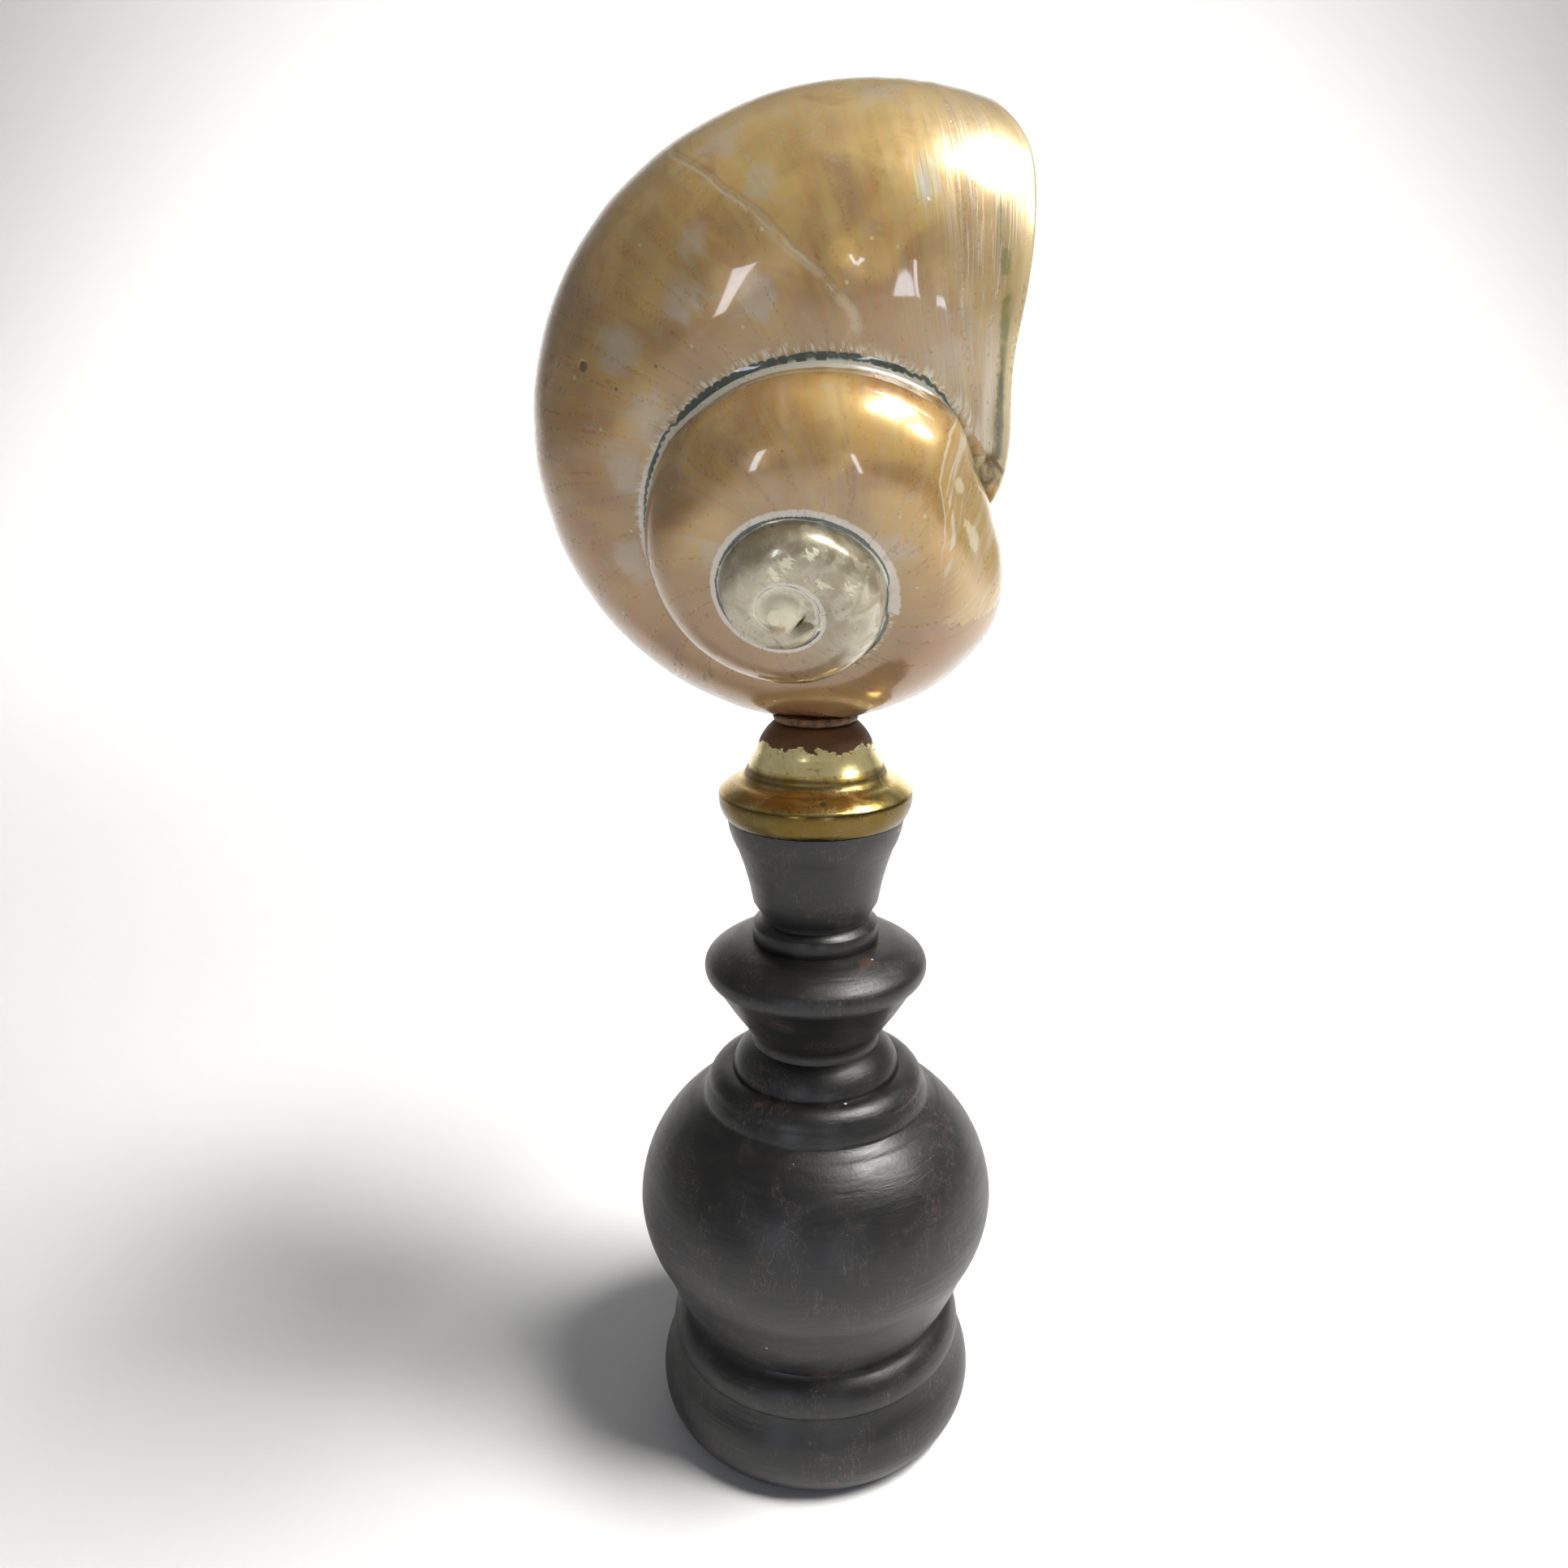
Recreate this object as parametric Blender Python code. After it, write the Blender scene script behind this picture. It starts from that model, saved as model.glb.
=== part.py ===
"""A polished turban shell glued on a turned black wooden stand with a brass cap.

Units are metres, +Z is up, and the origin is the centre of the stand's flat foot.
The spire of the shell points towards -Y and a little down, and its mouth opens towards +X.
"""

import math

import bmesh
import bpy
from mathutils import Vector

MM = 0.001
TURN = math.tau
GAP = 0.3 * MM

# The shell's coiling axis runs through its apex
APEX = Vector((-6.1, -41.2, 192.2)) * MM
SPIRE_LEAN = math.radians(28.6)
SPIRE_HEADING = math.radians(253.3)
LIP_BEARING = math.radians(43.3)

# Growth from the lip, backwards in turns
GROWTH_PER_TURN = 0.670
GROWTH_CURVE = -0.0786
RADIUS_POWER = 0.810
DEPTH_POWER = 1.284
SECTION_POWER = 1.033

# The whorl at the lip: how far its middle lies from the axis and below the apex, and its half sizes
WHORL_RADIUS = 34.2 * MM
WHORL_DEPTH = 67.3 * MM
HALF_WIDTH = 35.9 * MM
HALF_HEIGHT = 36.5 * MM
AXIS_CLEARANCE = 0.4 * MM
AXIS_BLEND = 4.0 * MM

# Along the axis the section is squarer than a circle, more so towards the apex than towards the base
APEX_SQUARENESS = 4.0
BASE_SQUARENESS = 3.0

# The lip and every growth line lean back over the rim of the whorl
LIP_LEAD = math.radians(7.4)
LIP_SWEEP = math.radians(24)

# Two lobes of the lip: how far each runs ahead, its middle round the section and its width
SUTURE_LOBE = (math.radians(31), math.radians(-100), math.radians(17))
RIM_NOTCH = (math.radians(-7), math.radians(13), math.radians(20))
LOBE_STAGES = 40

# The wall is thin on the rim, thick along the axis and worn down to less than half at the lip
WALL = 3.8 * MM
WALL_SHIFT = 1.2 * MM
THIN_LIP_STAGES = 8
LIP_THINNING = 0.55
LIP_BULGE = 0.7

# Where the earlier whorl forms the inner side of the mouth, it is ground flatter
DENT = 3.6 * MM
DENT_RISE = (math.radians(-362), math.radians(-338))
DENT_FALL = (math.radians(-325), math.radians(-290))
DENT_APEX_SIDE = (-0.966, -0.5)
DENT_AXIS_SIDE = (-0.5, 0.5)

# Growth stages in degrees, 0 at the lip
FIRST_STAGE = -1010
WHORL_START = -290
DEEPEST_STAGE = -210
APEX_ROUNDING = 30
DEEP_ROUNDING = 24
PLUG_STAGE = 5
PLUG_SHRINK = 0.90
WHORL_STEP = 12
SPIRE_STEP = 20
WHORL_SIDES = 24

# Radius and depth below the apex of the pillar that closes the middle of the coil
PILLAR = (
    (0.0, -0.5, 0.0),
    (3.9, 1.6, 0.9),
    (4.2, 9.0, 0.0),
    (4.6, 36.0, 0.0),
    (6.0, 54.0, 0.0),
    (5.4, 66.0, 0.3),
    (0.0, 79.0, 1.6),
)
PILLAR_SIDES = 20

# Radius, height and bow in millimetres: the stretch that ends at a point bows out by its bow
FOOT_AND_BALL = (
    (31.5, 0.0, 0.0),
    (36.4, 8.5, 1.3),
    (34.6, 15.5, 0.5),
    (32.9, 19.5, -0.1),
    (33.6, 20.8, 0.1),
    (31.0, 27.0, 0.9),
    (29.8, 28.3, -0.1),
    (36.2, 42.5, 0.4),
    (40.0, 56.0, 0.9),
    (28.3, 78.5, 2.9),
)
NECK_BEADS = (
    (25.2, 80.6, -0.2),
    (24.0, 84.0, 0.2),
    (18.6, 87.4, 1.2),
    (14.1, 93.5, 0.9),
)
FLARE_AND_CUP = (
    (14.6, 96.5, -0.3),
    (22.4, 108.5, 0.2),
    (22.7, 114.5, 1.7),
    (17.4, 117.3, 0.3),
    (13.6, 117.6, 0.0),
    (13.4, 121.4, 0.2),
    (11.6, 122.4, 0.0),
    (11.8, 123.6, 0.0),
    (13.5, 126.5, 0.0),
    (16.6, 138.5, -0.3),
    (18.6, 144.5, 0.3),
    (18.7, 145.3, 0.0),
)
TENON = (
    (17.7, 145.3, 0.0),
    (17.7, 150.2, 0.0),
    (12.3, 154.4, 0.0),
    (12.3, 157.6, 0.0),
    (7.2, 163.6, 0.0),
)
STAND_SIDES = 30

BRASS_OUTSIDE = (
    (19.0, 145.6, 0.0),
    (20.3, 148.6, 0.2),
    (20.3, 151.0, 0.1),
    (17.0, 153.4, 0.2),
    (14.6, 155.4, -0.4),
    (14.1, 156.4, 0.1),
    (12.4, 159.5, 0.0),
    (8.7, 165.5, 0.6),
)
BRASS_SIDES = 32

MASTIC = (
    (0.0, 163.9, 0.0),
    (6.9, 163.9, 0.0),
    (6.9, 165.8, 0.0),
    (8.5, 165.8, 0.0),
    (8.7, 167.4, 0.3),
    (0.0, 168.2, 0.0),
)
MASTIC_SIDES = 20
MASTIC_STAGES = range(-260, -130, 10)

ARC_STEP = math.radians(24)
SHARP_ANGLE = math.radians(32)


def clear_scene():
    for old in list(bpy.data.objects):
        bpy.data.objects.remove(old, do_unlink=True)


def material(name, colour, roughness, metallic=0.0, coat=0.0):
    made = bpy.data.materials.new(name)
    made.use_nodes = True
    shader = made.node_tree.nodes["Principled BSDF"]
    shader.inputs["Base Color"].default_value = (*colour, 1.0)
    shader.inputs["Roughness"].default_value = roughness
    shader.inputs["Metallic"].default_value = metallic
    shader.inputs["Coat Weight"].default_value = coat
    return made


def add_object(name, mesh_data, finish=None):
    placed = bpy.data.objects.new(name, mesh_data)
    bpy.context.scene.collection.objects.link(placed)
    if finish:
        mesh_data.materials.append(finish)
    return placed


def hide_guide(guide):
    guide.hide_render = True
    guide.display_type = "WIRE"
    return guide


def combine(target, tool, operation, self_crossing=False):
    step = target.modifiers.new(operation.lower(), "BOOLEAN")
    step.operation = operation
    step.solver = "EXACT"
    step.use_self = self_crossing
    step.object = tool


def mesh_from(bm, name):
    """The finished, triangulated and smooth-shaded mesh of a closed bmesh."""
    bmesh.ops.recalc_face_normals(bm, faces=bm.faces)
    bmesh.ops.triangulate(bm, faces=bm.faces)
    mesh_data = bpy.data.meshes.new(name)
    bm.to_mesh(mesh_data)
    bm.free()
    mesh_data.shade_smooth()
    mesh_data.set_sharp_from_angle(angle=SHARP_ANGLE)
    return mesh_data


def bowed_outline(points):
    """Turns points with a bow into a plain outline, each bowed stretch being a circular arc."""
    outline = [Vector(points[0][:2]) * MM]
    for start, end in zip(points, points[1:]):
        here, there = Vector(start[:2]) * MM, Vector(end[:2]) * MM
        bow = end[2] * MM
        chord = there - here
        outward = Vector((chord.y, -chord.x)).normalized()
        half = chord.length / 2
        sweep = 4 * math.atan2(bow, half)
        steps = max(1, math.ceil(abs(sweep) / ARC_STEP))
        for step in range(1, steps + 1):
            along = 2 * step / steps - 1
            rise = 0.0
            if steps > 1:
                radius = half / math.sin(sweep / 2)
                angle = along * sweep / 2
                rise = radius * (math.cos(angle) - math.cos(sweep / 2))
                along = radius * math.sin(angle) / half
            outline.append(here + chord * (along + 1) / 2 + outward * rise)
    return outline


def turned_mesh(name, outline, sides, base, axis, side_axis):
    """Spins an outline of radius and height round an axis through base."""
    bm = bmesh.new()
    verts = [bm.verts.new(base + side_axis * point.x + axis * point.y) for point in outline]
    edges = [bm.edges.new(pair) for pair in zip(verts, verts[1:])]
    if outline[0].x > 0:
        edges.append(bm.edges.new((verts[-1], verts[0])))
    bmesh.ops.spin(bm, geom=verts + edges, cent=base, axis=axis, angle=TURN, steps=sides, use_merge=True)
    bmesh.ops.remove_doubles(bm, verts=bm.verts, dist=0.001 * MM)
    return mesh_from(bm, name)


def turned_on_stand(name, outline, sides, finish):
    up, right = Vector((0, 0, 1)), Vector((1, 0, 0))
    return add_object(name, turned_mesh(name, outline, sides, Vector((0, 0, 0)), up, right), finish)


def shell_axes():
    """The direction of the apex along the coiling axis, and two directions square to it."""
    towards_apex = Vector((
        math.sin(SPIRE_LEAN) * math.cos(SPIRE_HEADING),
        -math.cos(SPIRE_LEAN),
        math.sin(SPIRE_LEAN) * math.sin(SPIRE_HEADING),
    ))
    right = Vector((1, 0, 0))
    right = (right - towards_apex * right.dot(towards_apex)).normalized()
    return towards_apex, right, towards_apex.cross(right)


def growth(angle):
    """The size of the animal at a growth angle, 1 at the lip."""
    turns = angle / TURN
    return math.exp(GROWTH_PER_TURN * turns + GROWTH_CURVE * turns ** 2)


def smooth_step(value, low, high):
    """Rises smoothly from 0 at low to 1 at high."""
    share = min(1.0, max(0.0, (value - low) / (high - low)))
    return share * share * (3 - 2 * share)


def smooth_maximum(first, second, blend):
    """The larger of two values, with the change from one to the other blended."""
    nearness = max(0.0, blend - abs(first - second)) / blend
    return max(first, second) + nearness ** 3 * blend / 6


def section_reach(around):
    """How far the section reaches beyond a circle at an angle round it."""
    inward = max(0.0, -math.cos(around))
    squareness = APEX_SQUARENESS if math.sin(around) < 0 else BASE_SQUARENESS
    power = 2 + squareness * inward ** 2
    return (abs(math.cos(around)) ** power + abs(math.sin(around)) ** power) ** (-1 / power)


def lobe(around, ahead, middle, width):
    """How far one lobe of the lip runs ahead at an angle round the section."""
    return ahead * math.exp((math.cos(around - middle) - 1) * 2 / width ** 2)


def lip_lean(stage, around):
    """How far a growth line runs ahead of its stage. The lobes belong to the last lines only."""
    lobes = lobe(around, *SUTURE_LOBE) + lobe(around, *RIM_NOTCH)
    return LIP_LEAD - LIP_SWEEP * math.cos(around) + lobes * smooth_step(stage, -LOBE_STAGES, 0)


def dent(angle, around):
    """How far the surface is ground down beside the mouth."""
    along = smooth_step(angle, *DENT_RISE) * (1 - smooth_step(angle, *DENT_FALL))
    across = smooth_step(math.sin(around), *DENT_APEX_SIDE) * smooth_step(math.cos(around), *DENT_AXIS_SIDE)
    return DENT * along * across


def whorl_point(stage, around, depth_in_wall=0.0, shrink=1.0, offset=0.0):
    """A point on the whorl that the growth line of one stage draws.

    around is 0 on the rim, -90 degrees towards the apex and 90 degrees towards the base.
    depth_in_wall is 0 on the outside and 1 on the inside.
    """
    angle = math.radians(stage) + lip_lean(stage, around)
    size = growth(angle)
    section = size ** SECTION_POWER
    thickness = depth_in_wall * (1 - LIP_THINNING * smooth_step(stage, -THIN_LIP_STAGES, 0))
    outward_offset = offset - WALL * thickness * section - dent(angle, around)
    reach = section_reach(around) * shrink
    half_width = (HALF_WIDTH * section + outward_offset) * reach
    half_height = (HALF_HEIGHT * section + outward_offset) * reach
    middle = WHORL_RADIUS * size ** RADIUS_POWER + WALL_SHIFT * thickness * section
    radius = smooth_maximum(middle + half_width * math.cos(around), AXIS_CLEARANCE, AXIS_BLEND)
    depth = WHORL_DEPTH * size ** DEPTH_POWER + half_height * math.sin(around)
    towards_apex, right, upward = shell_axes()
    bearing = LIP_BEARING - angle
    outward = right * math.cos(bearing) + upward * math.sin(bearing)
    return APEX - towards_apex * depth + outward * radius


def whorl_tube(name, stages, offset=0.0):
    """A closed tube along the coil. Each ring has a stage, a depth in the wall and a shrink."""
    bm = bmesh.new()
    rings = []
    for stage, depth_in_wall, shrink in stages:
        ring = []
        for side in range(WHORL_SIDES):
            around = TURN * side / WHORL_SIDES
            ring.append(bm.verts.new(whorl_point(stage, around, depth_in_wall, shrink, offset)))
        rings.append(ring)
    for near, far in zip(rings, rings[1:]):
        for side in range(WHORL_SIDES):
            after = (side + 1) % WHORL_SIDES
            bm.faces.new((near[side], near[after], far[after], far[side]))
    caps = [bm.faces.new(rings[0]), bm.faces.new(rings[-1])]
    bmesh.ops.poke(bm, faces=caps)
    return mesh_from(bm, name)


def rounded_start(first, full, count, depth_in_wall=0.0):
    """Rings whose section swells from small at first to whole at full."""
    swelling = []
    for index in range(count):
        share = (index + 0.35) / count
        stage = first + (full - first) * share ** 2
        swelling.append((stage, depth_in_wall, math.sin(share * math.pi / 2)))
    return swelling


def last_whorl():
    """One closed surface: along the outside to the lip, round the lip, and back inside."""
    outside = [(stage, 0.0, 1.0) for stage in range(WHORL_START, -WHORL_STEP // 2, WHORL_STEP)]
    lip = [(-THIN_LIP_STAGES / 2, 0.0, 1.0), (0, 0.0, 1.0), (LIP_BULGE, 0.5, 1.0), (0, 1.0, 1.0)]
    lip.append((-THIN_LIP_STAGES / 2, 1.0, 1.0))
    full = DEEPEST_STAGE + DEEP_ROUNDING
    inside = rounded_start(DEEPEST_STAGE, full, 4, depth_in_wall=1.0)
    inside += [(stage, 1.0, 1.0) for stage in range(full, -WHORL_STEP // 2, WHORL_STEP)]
    return whorl_tube("last_whorl", outside + lip + inside[::-1])


def spire():
    full = FIRST_STAGE + APEX_ROUNDING
    stages = rounded_start(FIRST_STAGE, full, 3)
    stages += [(stage, 0.0, 1.0) for stage in range(full, WHORL_START, SPIRE_STEP)]
    stages += [(WHORL_START, 0.0, 1.0), (WHORL_START + PLUG_STAGE, 0.0, PLUG_SHRINK)]
    return whorl_tube("spire", stages)


def pillar():
    towards_apex, right, _ = shell_axes()
    return turned_mesh("pillar", bowed_outline(PILLAR), PILLAR_SIDES, APEX, -towards_apex, right)


def make_shell(finish):
    """The earlier whorls and the pillar are joined first, and then bulge into the mouth."""
    shell = add_object("turban_shell", last_whorl(), finish)
    earlier = hide_guide(add_object("earlier_whorls", spire()))
    middle = hide_guide(add_object("pillar_guide", pillar()))
    combine(earlier, middle, "UNION", self_crossing=True)
    combine(shell, earlier, "UNION")
    return shell


def make_mastic(finish):
    """The old glue fills the cap's opening and creeps a little up the shell."""
    bead = turned_on_stand("mastic_bead", bowed_outline(MASTIC), MASTIC_SIDES, finish)
    stages = [(stage, 0.0, 1.0) for stage in MASTIC_STAGES]
    print_of_shell = hide_guide(add_object("shell_print", whorl_tube("shell_print", stages, offset=GAP)))
    combine(bead, print_of_shell, "DIFFERENCE")
    return bead


def make_brass_cap(finish):
    """Thin brass pressed over the tenon, with a gap all round."""
    clear = Vector((GAP, GAP))
    inside = [point + clear for point in bowed_outline(TENON)]
    inside[0].y = BRASS_OUTSIDE[0][1] * MM
    inside[-1].y = BRASS_OUTSIDE[-1][1] * MM
    outline = bowed_outline(BRASS_OUTSIDE) + inside[::-1]
    return turned_on_stand("brass_cap", outline, BRASS_SIDES, finish)


def make_stand(finish):
    """One turning, from the foot to the tenon inside the brass cap."""
    stack = ((0.0, 0.0, 0.0),) + FOOT_AND_BALL + NECK_BEADS + FLARE_AND_CUP + TENON
    stack += ((0.0, TENON[-1][1], 0.0),)
    return turned_on_stand("turned_stand", bowed_outline(stack), STAND_SIDES, finish)


def build():
    clear_scene()
    nacre = material("nacre", (0.55, 0.38, 0.21), 0.18, coat=0.6)
    glue = material("old_glue", (0.12, 0.07, 0.04), 0.6)
    brass = material("aged_brass", (0.62, 0.44, 0.14), 0.28, metallic=1.0)
    black_paint = material("black_paint", (0.018, 0.017, 0.018), 0.45)
    make_shell(nacre)
    make_mastic(glue)
    make_brass_cap(brass)
    make_stand(black_paint)


build()
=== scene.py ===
# %% [markdown]
# # A polished turban shell on a turned black stand
#
# The real object is a large sea snail's shell, ground and polished down to its mother of pearl.
# It is glued on a brass cap, which is pressed over a turned wooden stand painted satin black.
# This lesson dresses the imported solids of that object, piece by piece, in Blender.

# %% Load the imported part
import math

import bmesh
import bpy
import numpy as np
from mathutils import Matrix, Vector


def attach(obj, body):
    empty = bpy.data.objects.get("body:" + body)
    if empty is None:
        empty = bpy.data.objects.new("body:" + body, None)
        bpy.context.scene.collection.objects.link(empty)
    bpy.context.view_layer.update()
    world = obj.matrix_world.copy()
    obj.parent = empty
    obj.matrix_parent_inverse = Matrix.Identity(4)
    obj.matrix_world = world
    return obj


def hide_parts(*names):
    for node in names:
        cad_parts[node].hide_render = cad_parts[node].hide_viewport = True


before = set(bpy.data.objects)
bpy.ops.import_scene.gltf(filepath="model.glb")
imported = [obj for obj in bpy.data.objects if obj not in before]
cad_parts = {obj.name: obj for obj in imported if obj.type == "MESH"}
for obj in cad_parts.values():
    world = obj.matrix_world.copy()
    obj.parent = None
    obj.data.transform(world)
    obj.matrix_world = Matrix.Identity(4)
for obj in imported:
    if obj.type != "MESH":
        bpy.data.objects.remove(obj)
bpy.context.view_layer.update()
print("nodes:", sorted(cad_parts))

# %% [markdown]
# ## Wires: sums in a node tree, written as Python
#
# Both shaders and Geometry Nodes do their maths with Math nodes. Wrapping an output socket in a
# small class that knows +, -, * and / lets a long formula stay readable, and `1 - mask` works too.

# %% A socket that can be added and multiplied
class Wire:
    """One output of a node. A sum on it adds a Math node to its tree."""

    def __init__(self, graph, socket):
        self.graph = graph
        self.socket = socket

    def math(self, operation, *others):
        return self.graph.add("ShaderNodeMath", {"operation": operation}, [self, *others])

    def out(self, name):
        return Wire(self.graph, self.socket.node.outputs[name])

    def __add__(self, other):
        return self.math("ADD", other)

    def __sub__(self, other):
        return self.math("SUBTRACT", other)

    def __mul__(self, other):
        return self.math("MULTIPLY", other)

    def __truediv__(self, other):
        return self.math("DIVIDE", other)

    def __pow__(self, other):
        return self.math("POWER", other)

    def __rsub__(self, other):
        return self.graph.add("ShaderNodeMath", {"operation": "SUBTRACT"}, [other, self])

    def __rtruediv__(self, other):
        return self.graph.add("ShaderNodeMath", {"operation": "DIVIDE"}, [other, self])

    __radd__ = __add__
    __rmul__ = __mul__


class Graph:
    """A node tree, with one method that makes any node."""

    def __init__(self, tree):
        self.tree = tree

    def add(self, kind, settings, values=(), output=0):
        """Makes a node, applies its settings first, then its values and links by place or name."""
        node = self.tree.nodes.new(kind)
        for name, setting in settings.items():
            setattr(node, name, setting)
        pairs = values.items() if isinstance(values, dict) else enumerate(values)
        for place, value in pairs:
            if isinstance(value, Wire):
                self.tree.links.new(value.socket, node.inputs[place])
            else:
                node.inputs[place].default_value = value
        return Wire(self, node.outputs[output]) if node.outputs else None

    def step(self, value, low, high):
        """Rises smoothly from 0 at low to 1 at high, or falls where low is above high."""
        settings = {"interpolation_type": "SMOOTHSTEP"}
        rising = {"Value": value, "From Min": min(low, high), "From Max": max(low, high)}
        if low > high:
            rising.update({"To Min": 1.0, "To Max": 0.0})
        return self.add("ShaderNodeMapRange", settings, rising)


print("wires ready")

# %% [markdown]
# ## The coil of the shell
#
# A snail adds to the edge of its shell and keeps its shape as it grows, so the shell is a tube
# whose section swells while it turns round an axis and slides down it. One rule gives every point:
# the growth angle says how big the snail was, and the angle round the section says where on the
# tube the point lies. The lip is not square to the tube: it leans back over the rim, and all
# growth lines lean with it.

# %% Sizes of the coil
MM = 0.001
TURN = math.tau
DEGREE = TURN / 360

APEX = Vector((-6.1, -41.2, 192.2)) * MM
SPIRE_LEAN = math.radians(28.6)
SPIRE_HEADING = math.radians(253.3)
LIP_BEARING = math.radians(43.3)

GROWTH_PER_TURN = 0.670
GROWTH_CURVE = -0.0786
RADIUS_POWER = 0.810
DEPTH_POWER = 1.284
SECTION_POWER = 1.033

WHORL_RADIUS = 34.2 * MM
WHORL_DEPTH = 67.3 * MM
HALF_WIDTH = 35.9 * MM
HALF_HEIGHT = 36.5 * MM
AXIS_CLEARANCE = 0.4 * MM
AXIS_BLEND = 4.0 * MM
APEX_SQUARENESS = 4.0
BASE_SQUARENESS = 3.0

LIP_LEAD = math.radians(7.4)
LIP_SWEEP = math.radians(24)
SUTURE_LOBE = (math.radians(31), math.radians(-100), math.radians(17))
RIM_NOTCH = (math.radians(-7), math.radians(13), math.radians(20))
LOBE_STAGES = 40.0

WALL = 3.8 * MM
WALL_SHIFT = 1.2 * MM
THIN_LIP_STAGES = 8.0
LIP_THINNING = 0.55

DENT = 3.6 * MM
DENT_RISE = (math.radians(-362), math.radians(-338))
DENT_FALL = (math.radians(-325), math.radians(-290))
DENT_APEX_SIDE = (-0.966, -0.5)
DENT_AXIS_SIDE = (-0.5, 0.5)

towards_apex = Vector((
    math.sin(SPIRE_LEAN) * math.cos(SPIRE_HEADING),
    -math.cos(SPIRE_LEAN),
    math.sin(SPIRE_LEAN) * math.sin(SPIRE_HEADING),
))
shell_right = (Vector((1, 0, 0)) - towards_apex * towards_apex.x).normalized()
shell_up = towards_apex.cross(shell_right)
print("the apex points along", [round(part, 3) for part in towards_apex])

# %% [markdown]
# Geometry Nodes suit this: a flat grid is bent into the tube by one formula, and the same tree
# makes the last whorl and the early ones from other inputs. The last whorl is hollow, so its grid
# runs along the outside to the lip, round the lip in a half circle, and back inside. Each end
# shrinks to a point, and a merge closes the ends and the long seam.

# %% The Geometry Nodes tree of a coiled tube
TUBE_INPUTS = {
    "Outer Rings": ("NodeSocketInt", 200),
    "Lip Rings": ("NodeSocketInt", 0),
    "Inner Rings": ("NodeSocketInt", 0),
    "Sides": ("NodeSocketInt", 120),
    "First Stage": ("NodeSocketFloat", -290.0),
    "Last Stage": ("NodeSocketFloat", 0.0),
    "Deepest Stage": ("NodeSocketFloat", -210.0),
    "Start Rounding": ("NodeSocketFloat", 0.0),
    "End Rounding": ("NodeSocketFloat", 0.0),
    "Deep Rounding": ("NodeSocketFloat", 0.0),
    "Lip Bulge": ("NodeSocketFloat", 0.0),
}
MERGE = 0.0005 * MM
SMALLEST_SHARE = 0.004
SMALLEST_ROUNDING = 0.001


def section_reach_wire(around):
    """How far the section reaches beyond an ellipse, on the side of the axis."""
    cosine, sine = around.math("COSINE"), around.math("SINE")
    inward = (cosine * -1).math("MAXIMUM", 0)
    apex_side = sine.math("LESS_THAN", 0)
    squareness = apex_side * (APEX_SQUARENESS - BASE_SQUARENESS) + BASE_SQUARENESS
    power = squareness * inward * inward + 2
    both = cosine.math("ABSOLUTE") ** power + sine.math("ABSOLUTE") ** power
    return both ** (-1 / power)


def rounding_wire(distance, rounding):
    """1 along the tube, falling like a quarter circle to almost 0 at an end."""
    share = (distance / rounding.math("MAXIMUM", SMALLEST_ROUNDING)).math("MINIMUM", 1)
    share = share.math("MAXIMUM", SMALLEST_SHARE)
    rounded = rounding.math("GREATER_THAN", 0)
    return 1 - rounded * (1 - (share * (2 - share)).math("SQRT"))


def lobe_wire(around, lobe):
    """How far one lobe of the lip runs ahead at an angle round the section."""
    ahead, middle, width = lobe
    nearness = ((around - middle).math("COSINE") - 1) * (2 / width ** 2)
    return nearness.math("EXPONENT") * ahead


def dent_wire(graph, angle, around):
    """How far the early whorl is ground down beside the mouth."""
    along = graph.step(angle, *DENT_RISE) * (1 - graph.step(angle, *DENT_FALL))
    from_apex = graph.step(around.math("SINE"), *DENT_APEX_SIDE)
    from_axis = graph.step(around.math("COSINE"), *DENT_AXIS_SIDE)
    return along * from_apex * from_axis * DENT


def share_wire(ring, first, count):
    """Rises from 0 to 1 over a stretch of rings."""
    share = ((ring - first) / count.math("MAXIMUM", 1)).math("MAXIMUM", 0).math("MINIMUM", 1)
    return share * count.math("GREATER_THAN", 0)


def shell_point_wire(graph, radius, depth, angle):
    """A point from its distance to the coiling axis, its depth below the apex and its angle."""
    bearing = LIP_BEARING - angle
    parts = (
        (shell_right, radius * bearing.math("COSINE")),
        (shell_up, radius * bearing.math("SINE")),
        (towards_apex, depth * -1),
    )
    point = APEX
    for direction, amount in parts:
        values = {"Vector": direction, "Scale": amount}
        step = graph.add("ShaderNodeVectorMath", {"operation": "SCALE"}, values)
        point = graph.add("ShaderNodeVectorMath", {"operation": "ADD"}, [point, step])
    return point


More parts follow.
